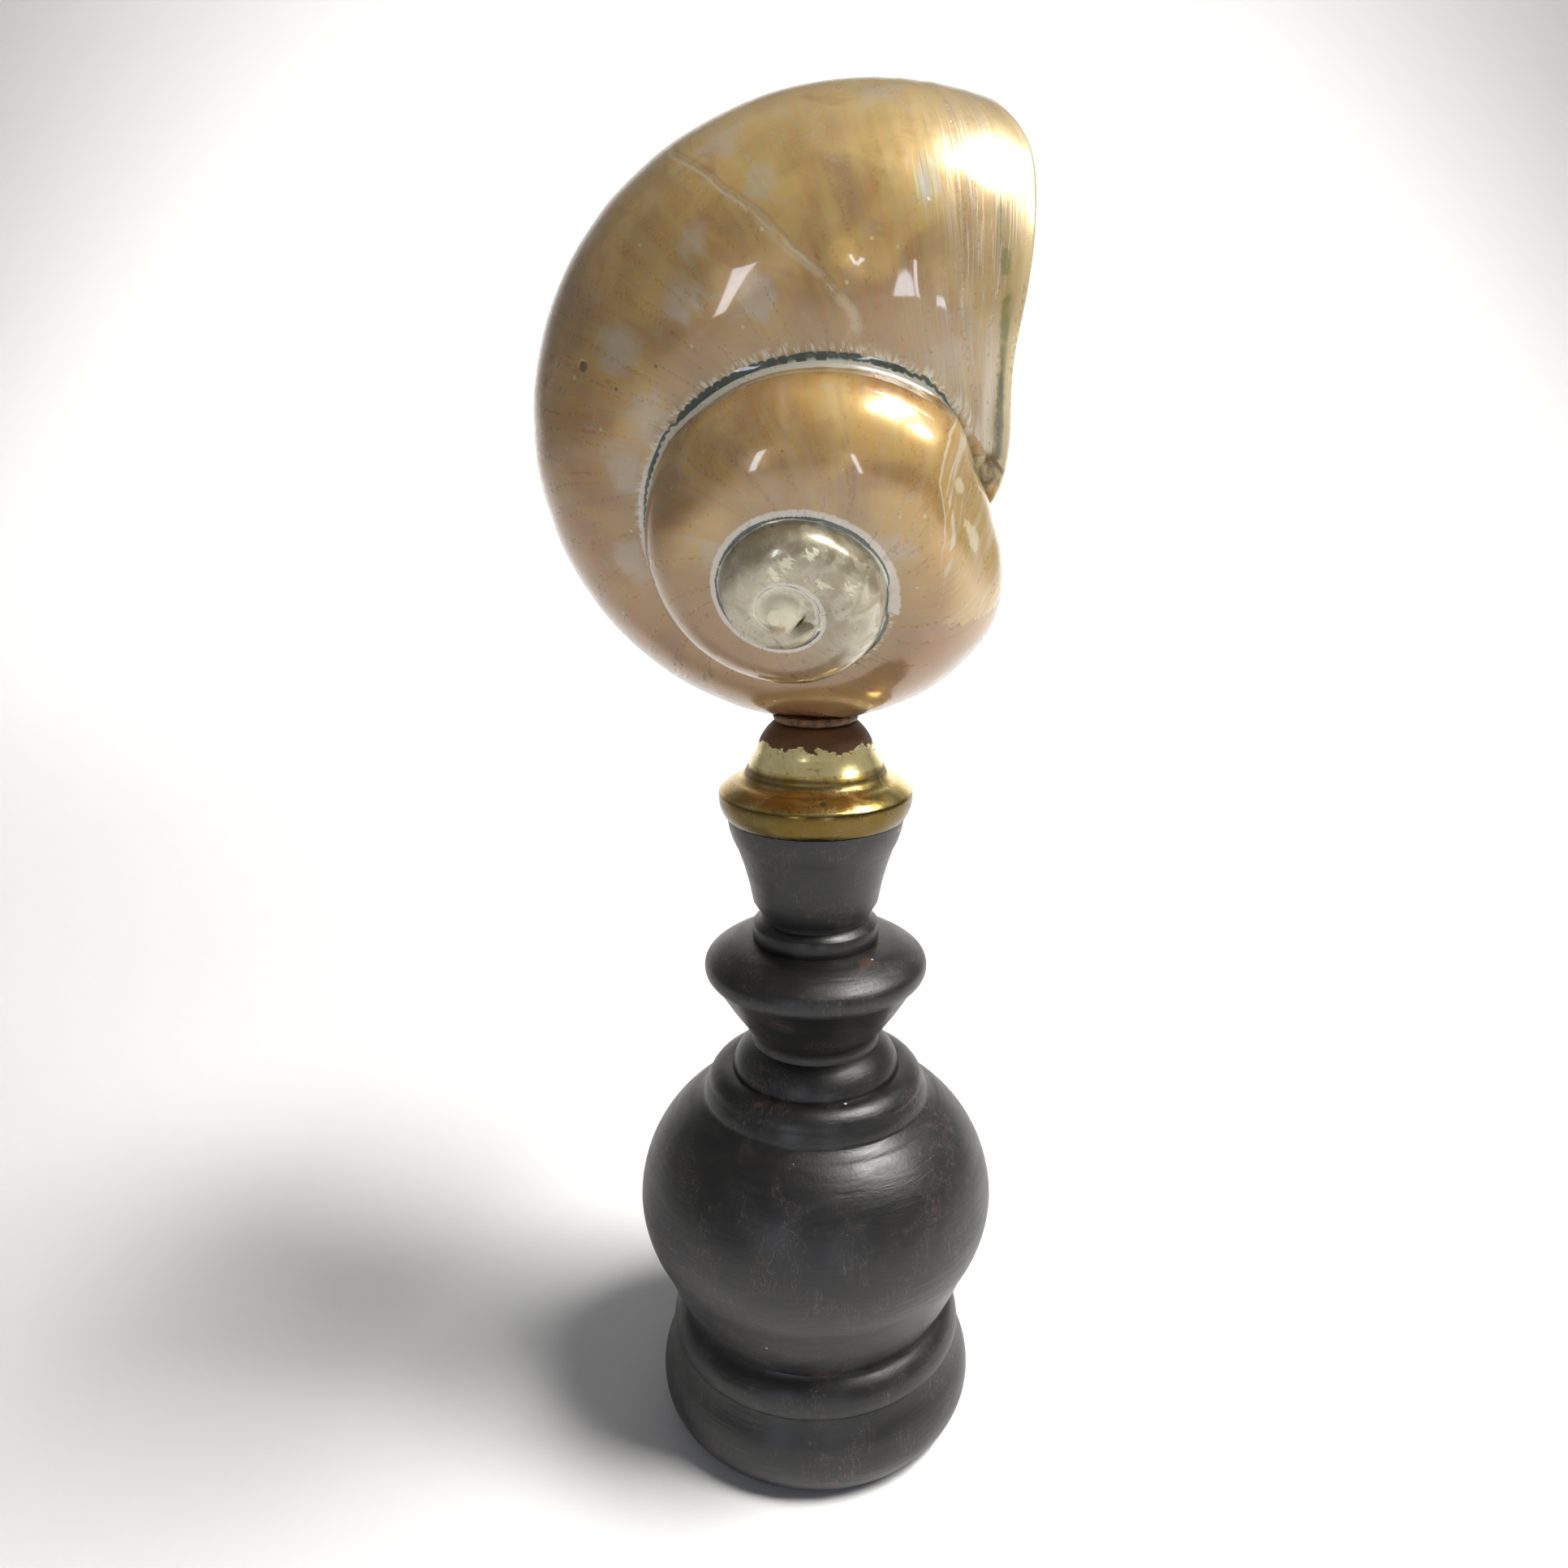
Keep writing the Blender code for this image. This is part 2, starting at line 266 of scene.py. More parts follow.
def make_tube_tree(skin):
    """Bends a grid into a coiled tube: along its outside, round its lip and back inside."""
    tree = bpy.data.node_groups.new("coiled_tube", "GeometryNodeTree")
    tree.interface.new_socket("Geometry", in_out="OUTPUT", socket_type="NodeSocketGeometry")
    for name, (kind, default) in TUBE_INPUTS.items():
        tree.interface.new_socket(name, in_out="INPUT", socket_type=kind).default_value = default
    graph = Graph(tree)
    given = graph.add("NodeGroupInput", {})
    outer, lip, inner = (given.out(name) for name in ("Outer Rings", "Lip Rings", "Inner Rings"))
    whole = outer + lip + inner
    grid_size = {"Vertices X": whole + 3, "Vertices Y": given.out("Sides") + 1}
    grid = graph.add("GeometryNodeMeshGrid", {}, grid_size)
    place = graph.add("ShaderNodeSeparateXYZ", {}, [graph.add("GeometryNodeInputPosition", {})])
    ring = ((place + 0.5) * (whole + 2)).math("ROUND")
    around = (place.out("Y") + 0.5) * TURN
    is_ring = (ring - 0.5).math("GREATER_THAN", 0) * (whole + 1.5 - ring).math("GREATER_THAN", 0)

    along = share_wire(ring, 1, outer)
    over_lip = share_wire(ring, outer + 1, lip)
    back_inside = share_wire(ring, outer + lip + 1, inner)
    first, last = given.out("First Stage"), given.out("Last Stage")
    deepest = given.out("Deepest Stage")
    outside_stage = first + (last - first) * along
    bulge = (over_lip * math.pi).math("SINE") * given.out("Lip Bulge")
    stage = outside_stage + bulge + (deepest - last) * back_inside
    is_inside = (1 - (over_lip * math.pi).math("COSINE")) * 0.5
    shrink = rounding_wire(outside_stage - first, given.out("Start Rounding"))
    shrink = shrink * rounding_wire(last - outside_stage, given.out("End Rounding"))
    to_deep_end = (1 - back_inside) * (last - deepest)
    shrink = shrink * rounding_wire(to_deep_end, given.out("Deep Rounding"))

    lobes = lobe_wire(around, SUTURE_LOBE) + lobe_wire(around, RIM_NOTCH)
    lean = LIP_LEAD - around.math("COSINE") * LIP_SWEEP
    lean = lean + lobes * graph.step(stage, -LOBE_STAGES, 0.0)
    angle = stage * DEGREE + lean * is_ring
    turns = angle / TURN
    size = (turns * GROWTH_PER_TURN + turns * turns * GROWTH_CURVE).math("EXPONENT")
    section = size ** SECTION_POWER
    thickness = is_inside * (1 - graph.step(stage, -THIN_LIP_STAGES, 0.0) * LIP_THINNING)
    inset = thickness * section * WALL + dent_wire(graph, angle, around)
    reach = section_reach_wire(around) * shrink * is_ring
    half_width = (section * HALF_WIDTH - inset) * reach
    half_height = (section * HALF_HEIGHT - inset) * reach
    middle = size ** RADIUS_POWER * WHORL_RADIUS + thickness * section * WALL_SHIFT
    radius = middle + half_width * around.math("COSINE")
    radius = radius.math("SMOOTH_MAX", AXIS_CLEARANCE, AXIS_BLEND)
    depth = size ** DEPTH_POWER * WHORL_DEPTH + half_height * around.math("SINE")

    point = shell_point_wire(graph, radius, depth, angle)
    bent = graph.add("GeometryNodeSetPosition", {}, {"Geometry": grid, "Position": point})
    closed = graph.add("GeometryNodeMergeByDistance", {}, {"Geometry": bent, "Distance": MERGE})
    real = graph.add("GeometryNodeRealizeInstances", {}, [closed])
    coated = graph.add("GeometryNodeSetMaterial", {}, {"Geometry": real, "Material": skin})
    graph.add("NodeGroupOutput", {}, [coated])
    return tree


def flatten(piece):
    """Applies every modifier of a piece, so that it is a plain mesh."""
    seen = piece.evaluated_get(bpy.context.evaluated_depsgraph_get())
    result = bpy.data.meshes.new_from_object(seen)
    piece.modifiers.clear()
    piece.data = result
    result.name = piece.name
    return piece


def run_tree(name, tree, inputs):
    """Evaluates a tree on an empty mesh, and returns the result as a plain object."""
    host = bpy.data.objects.new(name, bpy.data.meshes.new(name))
    bpy.context.scene.collection.objects.link(host)
    modifier = host.modifiers.new("nodes", "NODES")
    modifier.node_group = tree
    for item in tree.interface.items_tree:
        if item.in_out == "INPUT" and item.name in inputs:
            modifier[item.identifier] = inputs[item.name]
    return flatten(host)


nacre = bpy.data.materials.new("nacre")
nacre.use_nodes = True
tube_tree = make_tube_tree(nacre)
print("nodes in the tube tree:", len(tube_tree.nodes))

# %% [markdown]
# ## Whorls and pillar
#
# The last whorl has its own start in the coil, so that it never meets itself. The earlier whorls
# are solid, since the coil closes them off, and they bulge into the mouth as in a real shell. A
# slim pillar, turned round the coiling axis, fills the middle of the coil and shows in the mouth.

# %% Make the tubes
FIRST_STAGE = -1010.0
WHORL_START = -290.0
DEEPEST_STAGE = -210.0
WHORL_OVERLAP = 25.0
SIDES = 132

TUBES = {
    "turban_shell_mesh": {
        "Outer Rings": 192,
        "Lip Rings": 8,
        "Inner Rings": 110,
        "Sides": SIDES,
        "First Stage": WHORL_START,
        "Deepest Stage": DEEPEST_STAGE,
        "Deep Rounding": 24.0,
        "Lip Bulge": 0.7,
    },
    "early_whorls": {
        "Outer Rings": 260,
        "Sides": SIDES,
        "First Stage": FIRST_STAGE,
        "Last Stage": WHORL_START + WHORL_OVERLAP,
        "Start Rounding": 30.0,
        "End Rounding": WHORL_OVERLAP,
    },
}


def face_outwards(piece):
    """Merges doubles, turns all faces outwards and counts the open edges."""
    bm = bmesh.new()
    bm.from_mesh(piece.data)
    bmesh.ops.remove_doubles(bm, verts=bm.verts, dist=MERGE)
    bmesh.ops.recalc_face_normals(bm, faces=bm.faces)
    open_edges = sum(len(edge.link_faces) != 2 for edge in bm.edges)
    bm.to_mesh(piece.data)
    bm.free()
    return open_edges


tubes = {}
for tube_name, tube_inputs in TUBES.items():
    tubes[tube_name] = run_tree(tube_name, tube_tree, tube_inputs)
    open_edges = face_outwards(tubes[tube_name])
    print(tube_name, len(tubes[tube_name].data.polygons), "faces,", open_edges, "open edges")

# %% [markdown]
# Round pieces are outlines turned round an axis, as on a lathe. A bow between two points makes a
# smooth bead or hollow out of few numbers, so the same helper serves the pillar, stand and cap.

# %% A lathe for outlines
PILLAR = (
    (0.0, -0.5, 0.0),
    (3.9, 1.6, 0.9),
    (4.2, 9.0, 0.0),
    (4.6, 36.0, 0.0),
    (6.0, 54.0, 0.0),
    (5.4, 66.0, 0.3),
    (0.0, 79.0, 1.6),
)
PILLAR_SIDES = 64
FINE_ARC = math.radians(4)
LATHE_MERGE = 0.001 * MM


def bowed_outline(points):
    """Turns points of radius, height and bow into an outline: a bowed stretch is an arc."""
    outline = [Vector(points[0][:2]) * MM]
    for start, end in zip(points, points[1:]):
        here, there = Vector(start[:2]) * MM, Vector(end[:2]) * MM
        chord = there - here
        outward = Vector((chord.y, -chord.x)).normalized()
        half = chord.length / 2
        sweep = 4 * math.atan2(end[2] * MM, half)
        steps = max(1, math.ceil(abs(sweep) / FINE_ARC))
        for step in range(1, steps + 1):
            along, rise = 2 * step / steps - 1, 0.0
            if steps > 1:
                radius = half / math.sin(sweep / 2)
                rise = radius * (math.cos(along * sweep / 2) - math.cos(sweep / 2))
                along = radius * math.sin(along * sweep / 2) / half
            outline.append(here + chord * (along + 1) / 2 + outward * rise)
    return outline


def spin_outline(name, outline, sides, base, axis, side_axis):
    """Turns an outline of radius and height round an axis, as on a lathe."""
    bm = bmesh.new()
    verts = [bm.verts.new(base + side_axis * point.x + axis * point.y) for point in outline]
    edges = [bm.edges.new(pair) for pair in zip(verts, verts[1:])]
    if outline[0].x > 0:
        edges.append(bm.edges.new((verts[-1], verts[0])))
    bmesh.ops.spin(
        bm, geom=verts + edges, cent=base, axis=axis, angle=TURN, steps=sides, use_merge=True)
    bmesh.ops.remove_doubles(bm, verts=bm.verts, dist=LATHE_MERGE)
    bmesh.ops.recalc_face_normals(bm, faces=bm.faces)
    made = bpy.data.objects.new(name, bpy.data.meshes.new(name))
    bm.to_mesh(made.data)
    bm.free()
    bpy.context.scene.collection.objects.link(made)
    return made


pillar_outline = bowed_outline(PILLAR)
pillar = spin_outline("pillar", pillar_outline, PILLAR_SIDES, APEX, -towards_apex, shell_right)
pillar.data.materials.append(nacre)
print("the pillar has", len(pillar.data.polygons), "faces")

# %% [markdown]
# Exact Booleans join the pieces, because they keep every wall closed.

# %% Join the whorls
def combine(target, tool, operation, self_crossing=False):
    """Applies one exact Boolean and removes the tool."""
    step = target.modifiers.new(operation.lower(), "BOOLEAN")
    step.operation = operation
    step.solver = "EXACT"
    step.use_self = self_crossing
    step.object = tool
    flatten(target)
    bpy.data.objects.remove(tool, do_unlink=True)


shell = tubes["turban_shell_mesh"]
combine(tubes["early_whorls"], pillar, "UNION", self_crossing=True)
combine(shell, tubes["early_whorls"], "UNION")
print("the shell has", len(shell.data.polygons), "faces")

# %% [markdown]
# ## Where every point lies on the coil
#
# The marks of the shell follow its growth: sutures between whorls, growth lines, scars where the
# animal mended its lip. So each corner of each face gets its place on the coil, found by turning
# the rule of the coil round. The shaders read it from attributes: how far along the tube, how far
# round it, how far from the nearest suture, and how far behind the lip.

# %% Coil coordinates with numpy
FARTHEST_LEAD = math.radians(52)
LEAN_ROUNDS = 6


def coil_sizes(angle):
    """The middle, the depth and the section size of the coil at an angle."""
    turns = angle / TURN
    size = np.exp(turns * GROWTH_PER_TURN + turns ** 2 * GROWTH_CURVE)
    middle, centre = size ** RADIUS_POWER * WHORL_RADIUS, size ** DEPTH_POWER * WHORL_DEPTH
    return middle, centre, size ** SECTION_POWER


def section_reach(around):
    """How far the section reaches beyond an ellipse, on the side of the axis."""
    inward = np.maximum(-np.cos(around), 0)
    squareness = np.where(np.sin(around) < 0, APEX_SQUARENESS, BASE_SQUARENESS)
    power = 2 + squareness * inward ** 2
    return (np.abs(np.cos(around)) ** power + np.abs(np.sin(around)) ** power) ** (-1 / power)


def place_in_section(radius, depth, angle):
    """The angle round the section of a point, and its distance from the middle: 1 is the wall."""
    middle, centre, section = coil_sizes(angle)
    wide = (radius - middle) / (HALF_WIDTH * section)
    high = (depth - centre) / (HALF_HEIGHT * section)
    around = np.arctan2(high, wide)
    return around, np.hypot(wide, high) / section_reach(around)


def smooth_step(value, low, high):
    share = np.clip((value - low) / (high - low), 0, 1)
    return share * share * (3 - 2 * share)


def dent_depth(angle, around):
    """How far the early whorl is ground down beside the mouth."""
    along = smooth_step(angle, *DENT_RISE) * (1 - smooth_step(angle, *DENT_FALL))
    from_apex = smooth_step(np.sin(around), *DENT_APEX_SIDE)
    from_axis = smooth_step(np.cos(around), *DENT_AXIS_SIDE)
    return along * from_apex * from_axis * DENT


def growth_stage(angle, around):
    """Takes the lean of the growth lines away, so that a growth line has one stage in degrees."""
    lead = np.degrees(LIP_LEAD - LIP_SWEEP * np.cos(around))
    lobes = 0
    for ahead, middle, width in (SUTURE_LOBE, RIM_NOTCH):
        lobes = lobes + np.degrees(ahead) * np.exp((np.cos(around - middle) - 1) * 2 / width ** 2)
    stage = np.degrees(angle) - lead
    for _ in range(LEAN_ROUNDS):
        stage = np.degrees(angle) - lead - lobes * smooth_step(stage, -LOBE_STAGES, 0)
    return stage


def to_coil(points):
    """Distance to the axis, depth and bearing of points in metres."""
    relative = points - np.array(APEX)
    right, up = relative @ np.array(shell_right), relative @ np.array(shell_up)
    return np.hypot(right, up), -(relative @ np.array(towards_apex)), np.arctan2(up, right)


def section_outline(around, angle):
    """Distance to the axis and depth of the points of a section."""
    middle, centre, section = coil_sizes(angle)
    reach = section_reach(around) * section
    radius = middle + HALF_WIDTH * reach * np.cos(around)
    return np.array((radius, centre + HALF_HEIGHT * reach * np.sin(around)))


print("the coil can be read backwards")

# %% [markdown]
# A suture is where the outline of one whorl first runs into the whorl before it. A table lists
# that point all along the coil, with the direction that halves the corner between the two whorls.
# A point on the one side of it belongs to the later whorl, a point on the other to the earlier.

# %% Table of the sutures
TABLE_ANGLES = np.radians(np.arange(-1000, 62, 2.0))
TABLE_ROUND = np.radians(np.arange(-38, -180, -0.2))
WAY_STEPS = 10
WAY_TURN = math.radians(3)


def suture_table():
    """Where each whorl meets the one before it: angle, radius, depth and way to its own side."""
    rows = []
    for angle in TABLE_ANGLES:
        outline = section_outline(TABLE_ROUND, angle)
        arounds_before, nearness = place_in_section(*outline, angle - TURN)
        first = np.argmax(nearness < 1)
        meeting = outline[:, first]
        way_out = outline[:, first - WAY_STEPS] - meeting
        way_back = section_outline(arounds_before[first] - WAY_TURN, angle - TURN) - meeting
        way = way_out / np.hypot(*way_out) - way_back / np.hypot(*way_back)
        rows.append((angle, *meeting, *way))
    return np.array(rows).T


SUTURES = suture_table()
print("points on the sutures:", SUTURES.shape[1])


def suture_gap(radius, depth, angle):
    """The distance to the suture at an angle in mm, and whether a point lies on its outer side."""
    there = [np.interp(angle, SUTURES[0], row) for row in SUTURES[1:]]
    steps = radius - there[0], depth - there[1]
    return np.hypot(*steps) / MM, steps[0] * there[2] + steps[1] * there[3] > 0


# %% [markdown]
# A bearing alone can't tell the whorls apart, because they lie one round the other. So each face
# tries all of them and takes the one on whose wall it lies best. Near a suture two walls fit almost
# equally well, and there the side of the suture decides.

# %% Which whorl each face belongs to
WHORLS = 4
SUTURE_END = math.radians(3)
WRONG_SIDE = 0.2
SIDE_REACH = 4.0
NO_FIT = 9.0

mesh = shell.data
corner_vert = np.zeros(len(mesh.loops), dtype=np.int32)
mesh.loops.foreach_get("vertex_index", corner_vert)
spots = np.zeros(len(mesh.vertices) * 3)
mesh.vertices.foreach_get("co", spots)
spots = spots.reshape(-1, 3)
centres = np.zeros(len(mesh.polygons) * 3)
mesh.polygons.foreach_get("center", centres)
face_size = np.zeros(len(mesh.polygons), dtype=np.int32)
mesh.polygons.foreach_get("loop_total", face_size)

radius, depth, bearing = to_coil(centres.reshape(-1, 3))
behind = np.mod(TURN + LIP_BEARING - bearing, TURN)
best = np.full(len(behind), NO_FIT)
face_angle = np.zeros(len(behind))
for whorl in range(WHORLS):
    angle = behind - TURN * whorl
    around, nearness = place_in_section(radius, depth, angle)
    miss = np.abs(nearness + dent_depth(angle, around) / (HALF_WIDTH * coil_sizes(angle)[2]) - 1)
    gap, is_outer = suture_gap(radius, depth, angle)
    miss = miss + WRONG_SIDE * ((gap < SIDE_REACH) & ~is_outer)
    gap, is_outer = suture_gap(radius, depth, angle + TURN)
    miss = miss + WRONG_SIDE * ((gap < SIDE_REACH) & is_outer & (angle + TURN < SUTURE_END))
    miss = np.where((whorl == 0) & (behind > FARTHEST_LEAD), NO_FIT, miss)
    closer = miss < best
    best = np.where(closer, miss, best)
    face_angle = np.where(closer, angle, face_angle)
print("faces of the last whorl:", int((face_angle > -TURN).sum()))

# %% [markdown]
# Faces of two whorls share the vertices of their suture. So the values are kept on the corners of
# the faces, where each face has its own.

# %% The place of each corner on the coil
face_of_corner = np.repeat(np.arange(len(face_size)), face_size)
radius, depth, bearing = to_coil(spots[corner_vert])
near_angle = face_angle[face_of_corner]
angle = near_angle + np.mod(LIP_BEARING - bearing - near_angle + math.pi, TURN) - math.pi
around, nearness = place_in_section(radius, depth, angle)
nearness = nearness + dent_depth(angle, around) / (HALF_WIDTH * coil_sizes(angle)[2])
stage = growth_stage(angle, around)
section = coil_sizes(angle)[2]
print("growth angles in degrees:", np.degrees([angle.min(), angle.max()]).round())

# %% [markdown]
# The edge of the callus, the thin glaze that the animal laid over the early whorl at its mouth,
# and the pale scar across the body are lines on the coil. They are given as angles round the tube
# with the growth angle at which the line crosses there.

# %% Distances to the lines on the coil
CALLUS_EDGE = (
    (-75, -312), (-73, -313), (-68, -330), (-45, -353), (-30, -358), (-15, -360), (20, -357),
)
SCAR_LINE = ((-78, -33.5), (-60, -49.5), (-37, -62), (-18, -69.5), (-3, -72.5))
SCAR_ROUND = (-1.5, 0.05)
BODY_START = -300
CALLUS_START = -420
THROAT_START = -600
INSIDE_LIMIT = 0.965
THROAT_MISS = 0.25
GROWTH_SPREAD = 470.0
SMALLEST_ARM = 2 * MM
FAR = 60.0
NO_LIP = 200.0


def beyond_line(line, value):
    """How many degrees a value lies beyond a line given by angles round the tube."""
    return value - np.interp(np.degrees(around), *zip(*line))


along = GROWTH_SPREAD * coil_sizes(np.radians(stage))[2]
arm = np.maximum(radius, SMALLEST_ARM) / MM * DEGREE
gap_in, _ = suture_gap(radius, depth, angle)
gap_out, _ = suture_gap(radius, depth, angle + TURN)
gap_out = np.where(angle + TURN < SUTURE_END, gap_out, FAR)
is_body = angle > math.radians(BODY_START)
inside = (nearness < INSIDE_LIMIT) & is_body
in_throat = (np.abs(nearness - 1) > THROAT_MISS) & (angle > math.radians(THROAT_START))
inside = inside | in_throat
gap_in, gap_out = np.where(inside, FAR, (gap_in, gap_out))
lip = np.where(is_body | inside, -stage * arm, NO_LIP)
by_mouth = ~is_body & (angle > math.radians(CALLUS_START))
callus = np.where(by_mouth, beyond_line(CALLUS_EDGE, np.degrees(angle)) * arm, -FAR)
by_scar = is_body & ~inside & (around > SCAR_ROUND[0]) & (around < SCAR_ROUND[1])
scar = np.where(by_scar, beyond_line(SCAR_LINE, np.degrees(angle)) * arm, FAR)

CORNER_DATA = {
    "coil": (along, around * HALF_WIDTH / MM * section, np.degrees(angle) / 360),
    "seam": (gap_in, gap_out, np.degrees(around)),
    "zones": (lip, callus, scar),
    "growth": (stage, inside * 1.0, section),
}
for name, parts in CORNER_DATA.items():
    layer = mesh.attributes.new(name, "FLOAT_VECTOR", "CORNER")
    layer.data.foreach_set("vector", np.stack(parts, axis=1).astype(np.float32).ravel())
print("corners inside:", int(inside.sum()), "on the callus:", int((callus > 0).sum()))

# %% [markdown]
# ## Polishing
#
# The real shell was ground with a wheel until its sutures lay almost flush, and its apex is worn.
# Moving each vertex near a suture towards the mean of its neighbours does the same to the mesh.
# The edge of the lip, the mouth and the pieces that must meet other pieces stay as they are.

# %% Grind the sutures and the apex
GRIND_ROUNDS = 40
GRIND_REACH = 5.0
GRIND_CORE = 0.3
GRIND_SHARE = 0.6
WORN_STAGES = (860, 960)
APEX_WEAR = 0.15
LIP_MARGIN = (3, 9)
CALLUS_MARGIN = 2
NOTHING_YET = 1e3


def to_vertices(values, keep):
    """Collects corner values on vertices, keeping the smallest or the largest."""
    start = NOTHING_YET if keep is np.minimum else -NOTHING_YET
    found = np.full(len(mesh.vertices), start)
    keep.at(found, corner_vert, values)
    return found


seam_gap = to_vertices(np.minimum(gap_in, gap_out), np.minimum)
ground = 1 - smooth_step(seam_gap, GRIND_REACH * GRIND_CORE, GRIND_REACH)
worn = smooth_step(-to_vertices(np.degrees(angle), np.maximum), *WORN_STAGES)
lip_gap = to_vertices(np.abs(lip), np.minimum)
inner = to_vertices(inside * 1.0, np.maximum)
off_callus = to_vertices(callus, np.maximum) < -CALLUS_MARGIN
weight = np.maximum(ground, worn * APEX_WEAR) * smooth_step(lip_gap, *LIP_MARGIN)
weight = weight * (1 - inner) * off_callus
edge_ends = np.zeros(len(mesh.edges) * 2, dtype=np.int32)
mesh.edges.foreach_get("vertices", edge_ends)
edge_ends = edge_ends.reshape(-1, 2)
edge_ends = edge_ends[(weight[edge_ends] > 0).any(axis=1)]
for _ in range(GRIND_ROUNDS):
    total, count = np.zeros_like(spots), np.zeros(len(spots))
    for here, there in ((0, 1), (1, 0)):
        np.add.at(total, edge_ends[:, here], spots[edge_ends[:, there]])
        np.add.at(count, edge_ends[:, here], 1)
    mean = total / np.maximum(count, 1)[:, None]
    moved = spots + (mean - spots) * weight[:, None] * GRIND_SHARE
    spots = np.where(weight[:, None] > 0, moved, spots)
mesh.vertices.foreach_set("co", spots.ravel())
mesh.update()
print("vertices ground:", int((weight > 0).sum()))

# %% [markdown]
# ## Relief
#
# Hand grinding leaves the surface slightly uneven. Near the lip the growth folds of the last
# months stay as soft ridges. A blister, a few chips and the broken corner of the mouth are real
# dents, so they are moved vertices; fine pits and lines are left to the shader.

# %% Move the vertices
UNEVEN = 0.10
FOLD_HEIGHT = 0.14
FOLD_START = (-30, -14)
FOLD_END = (-4, -1)
FOLD_SIDE = (45, 110)
FOLD_MARGIN = (1, 5)
WAVES_ACROSS, WAVES_UP = 0.31, 0.27
WAVE_BEND, WAVE_BENDS_UP = 1.3, 0.17
COARSE_FOLDS, FINE_FOLDS = 1.1, 2.3
DENTS = {
    "blister": ((4.2, -36.4, 248.5), 2.4, 0.45),
    "corner hollow": ((29.6, -21.5, 215.5), 3.0, -0.6),
    "corner ridge": ((27.0, -29.5, 214.2), 1.6, 0.35),
    "corner chip": ((28.5, -29.0, 206.0), 1.4, -0.35),
    "cream chip": ((31.3, -24.6, 201.6), 2.4, -0.4),
    "lip crack": ((31.2, -28.2, 226.1), 1.6, -0.3),
}

normals = np.zeros(len(mesh.vertices) * 3)
mesh.vertices.foreach_get("normal", normals)
normals = normals.reshape(-1, 3)
in_mm = spots / MM
stage_most = to_vertices(stage, np.maximum)
around_most = to_vertices(np.degrees(around), np.maximum)
outside = 1 - inner
x, z = in_mm[:, 0], in_mm[:, 2]
wave = np.sin(x * WAVES_ACROSS + WAVE_BEND * np.sin(z * WAVE_BENDS_UP))
lift = UNEVEN * wave * np.sin(z * WAVES_UP)
folds = smooth_step(stage_most, *FOLD_START) * (1 - smooth_step(stage_most, *FOLD_END))
folds = folds * (0.35 + 0.65 * smooth_step(-around_most, *FOLD_SIDE))
fold_wave = np.sin(stage_most * COARSE_FOLDS) + 0.5 * np.sin(stage_most * FINE_FOLDS + 1)
lift = lift + folds * FOLD_HEIGHT * fold_wave
lift = lift * smooth_step(lip_gap, *FOLD_MARGIN) * outside
for centre, reach, height in DENTS.values():
    gap = np.linalg.norm(in_mm - np.array(centre), axis=1)
    lift = lift + outside * height * np.exp(-(gap / reach) ** 2)
spots = spots + normals * lift[:, None] * MM
mesh.vertices.foreach_set("co", spots.ravel())
mesh.update()
print("relief from", round(lift.min(), 2), "to", round(lift.max(), 2), "mm")

# %% [markdown]
# Clouds of lilac grey, chalky patches and the cream chips at the mouth are soft spots at places on
# the coil. Their strength goes to one more attribute, and noise in the shader frays their edges.

# %% Patches on the coil
CLOUDS = (
    (-73, -62, 4.5), (-68, -50, 3.5), (-55, -40, 3.5), (-56, -71, 4), (-61, -20, 5), (-91, -61, 5),
    (-96, -82, 5), (-39, -9, 5), (-9, -80, 5), (-114, -81, 6), (-144, -83, 5), (-466, -97, 3.5),
    (-342, -87, 3.5), (-30, 30, 7), (-120, 20, 8), (-180, -30, 8), (-230, 20, 9), (-80, 60, 8),
)
CHALKS = ((-742, -53, 1.6), (-771, -96, 1.8), (-715, -88, 1.8), (-760, -75, 2.0), (-700, -60, 1.5))
CHIPS = ((-334, -40.5, 1.3), (-327.5, -37, 2.6), (-346, -30, 1.6))


def patches(places):
    """The strength of the nearest soft spot, given as growth angle, angle round and reach in mm."""
    strength = np.zeros(len(angle))
    for turned_by, round_by, reach in places:
        steps = (np.degrees(angle) - turned_by) * arm
        rise = (np.degrees(around) - round_by) * DEGREE * section * HALF_WIDTH / MM
        strength = np.maximum(strength, np.exp(-(steps ** 2 + rise ** 2) / reach ** 2))
    return np.where(inside, 0, strength)


layer = mesh.attributes.new("patches", "FLOAT_VECTOR", "CORNER")
values = np.stack((patches(CLOUDS), patches(CHALKS), patches(CHIPS)), axis=1).astype(np.float32)
layer.data.foreach_set("vector", values.ravel())
print("patched corners:", int((values > 0.5).any(axis=1).sum()))

# %% [markdown]
# ## Mother of pearl
#
# Polished nacre is thin clear plates over a honey-brown body. So the material has a little
# subsurface light, a clear coat that gives the crisp window highlights, and a constant thin film
# that tints its gloss. The colour is built in layers, each blended over the last: honey body,
# growth streaks, painted light on the top, painted shade on the left and a darker lower side that
# is partly painted shade, clouds, a painted iridescent sheen, lip and crack, grey old whorls,
# sutures, scar, callus, mouth with painted shade deep inside, and damage with a painted glint.

# %% Helpers for the shaders
def tone(red, green, blue):
    """A colour read off as screen values, turned into light values."""
    parts = (value / 255 for value in (red, green, blue))
    light = (part / 12.92 if part < 0.04 else ((part + 0.055) / 1.055) ** 2.4 for part in parts)
    return (*light, 1.0)


def blend(graph, factor, below, above):
    """Lays one colour over another."""
    values = {0: factor, 6: below, 7: above}
    return graph.add("ShaderNodeMix", {"data_type": "RGBA"}, values, output=2)


def noise(graph, place, size, detail=3.0, distortion=0.0):
    """Smooth noise whose lumps are about as wide as the size."""
    values = {"Vector": place, "Scale": 1 / size, "Detail": detail, "Distortion": distortion}
    return graph.add("ShaderNodeTexNoise", {}, values)


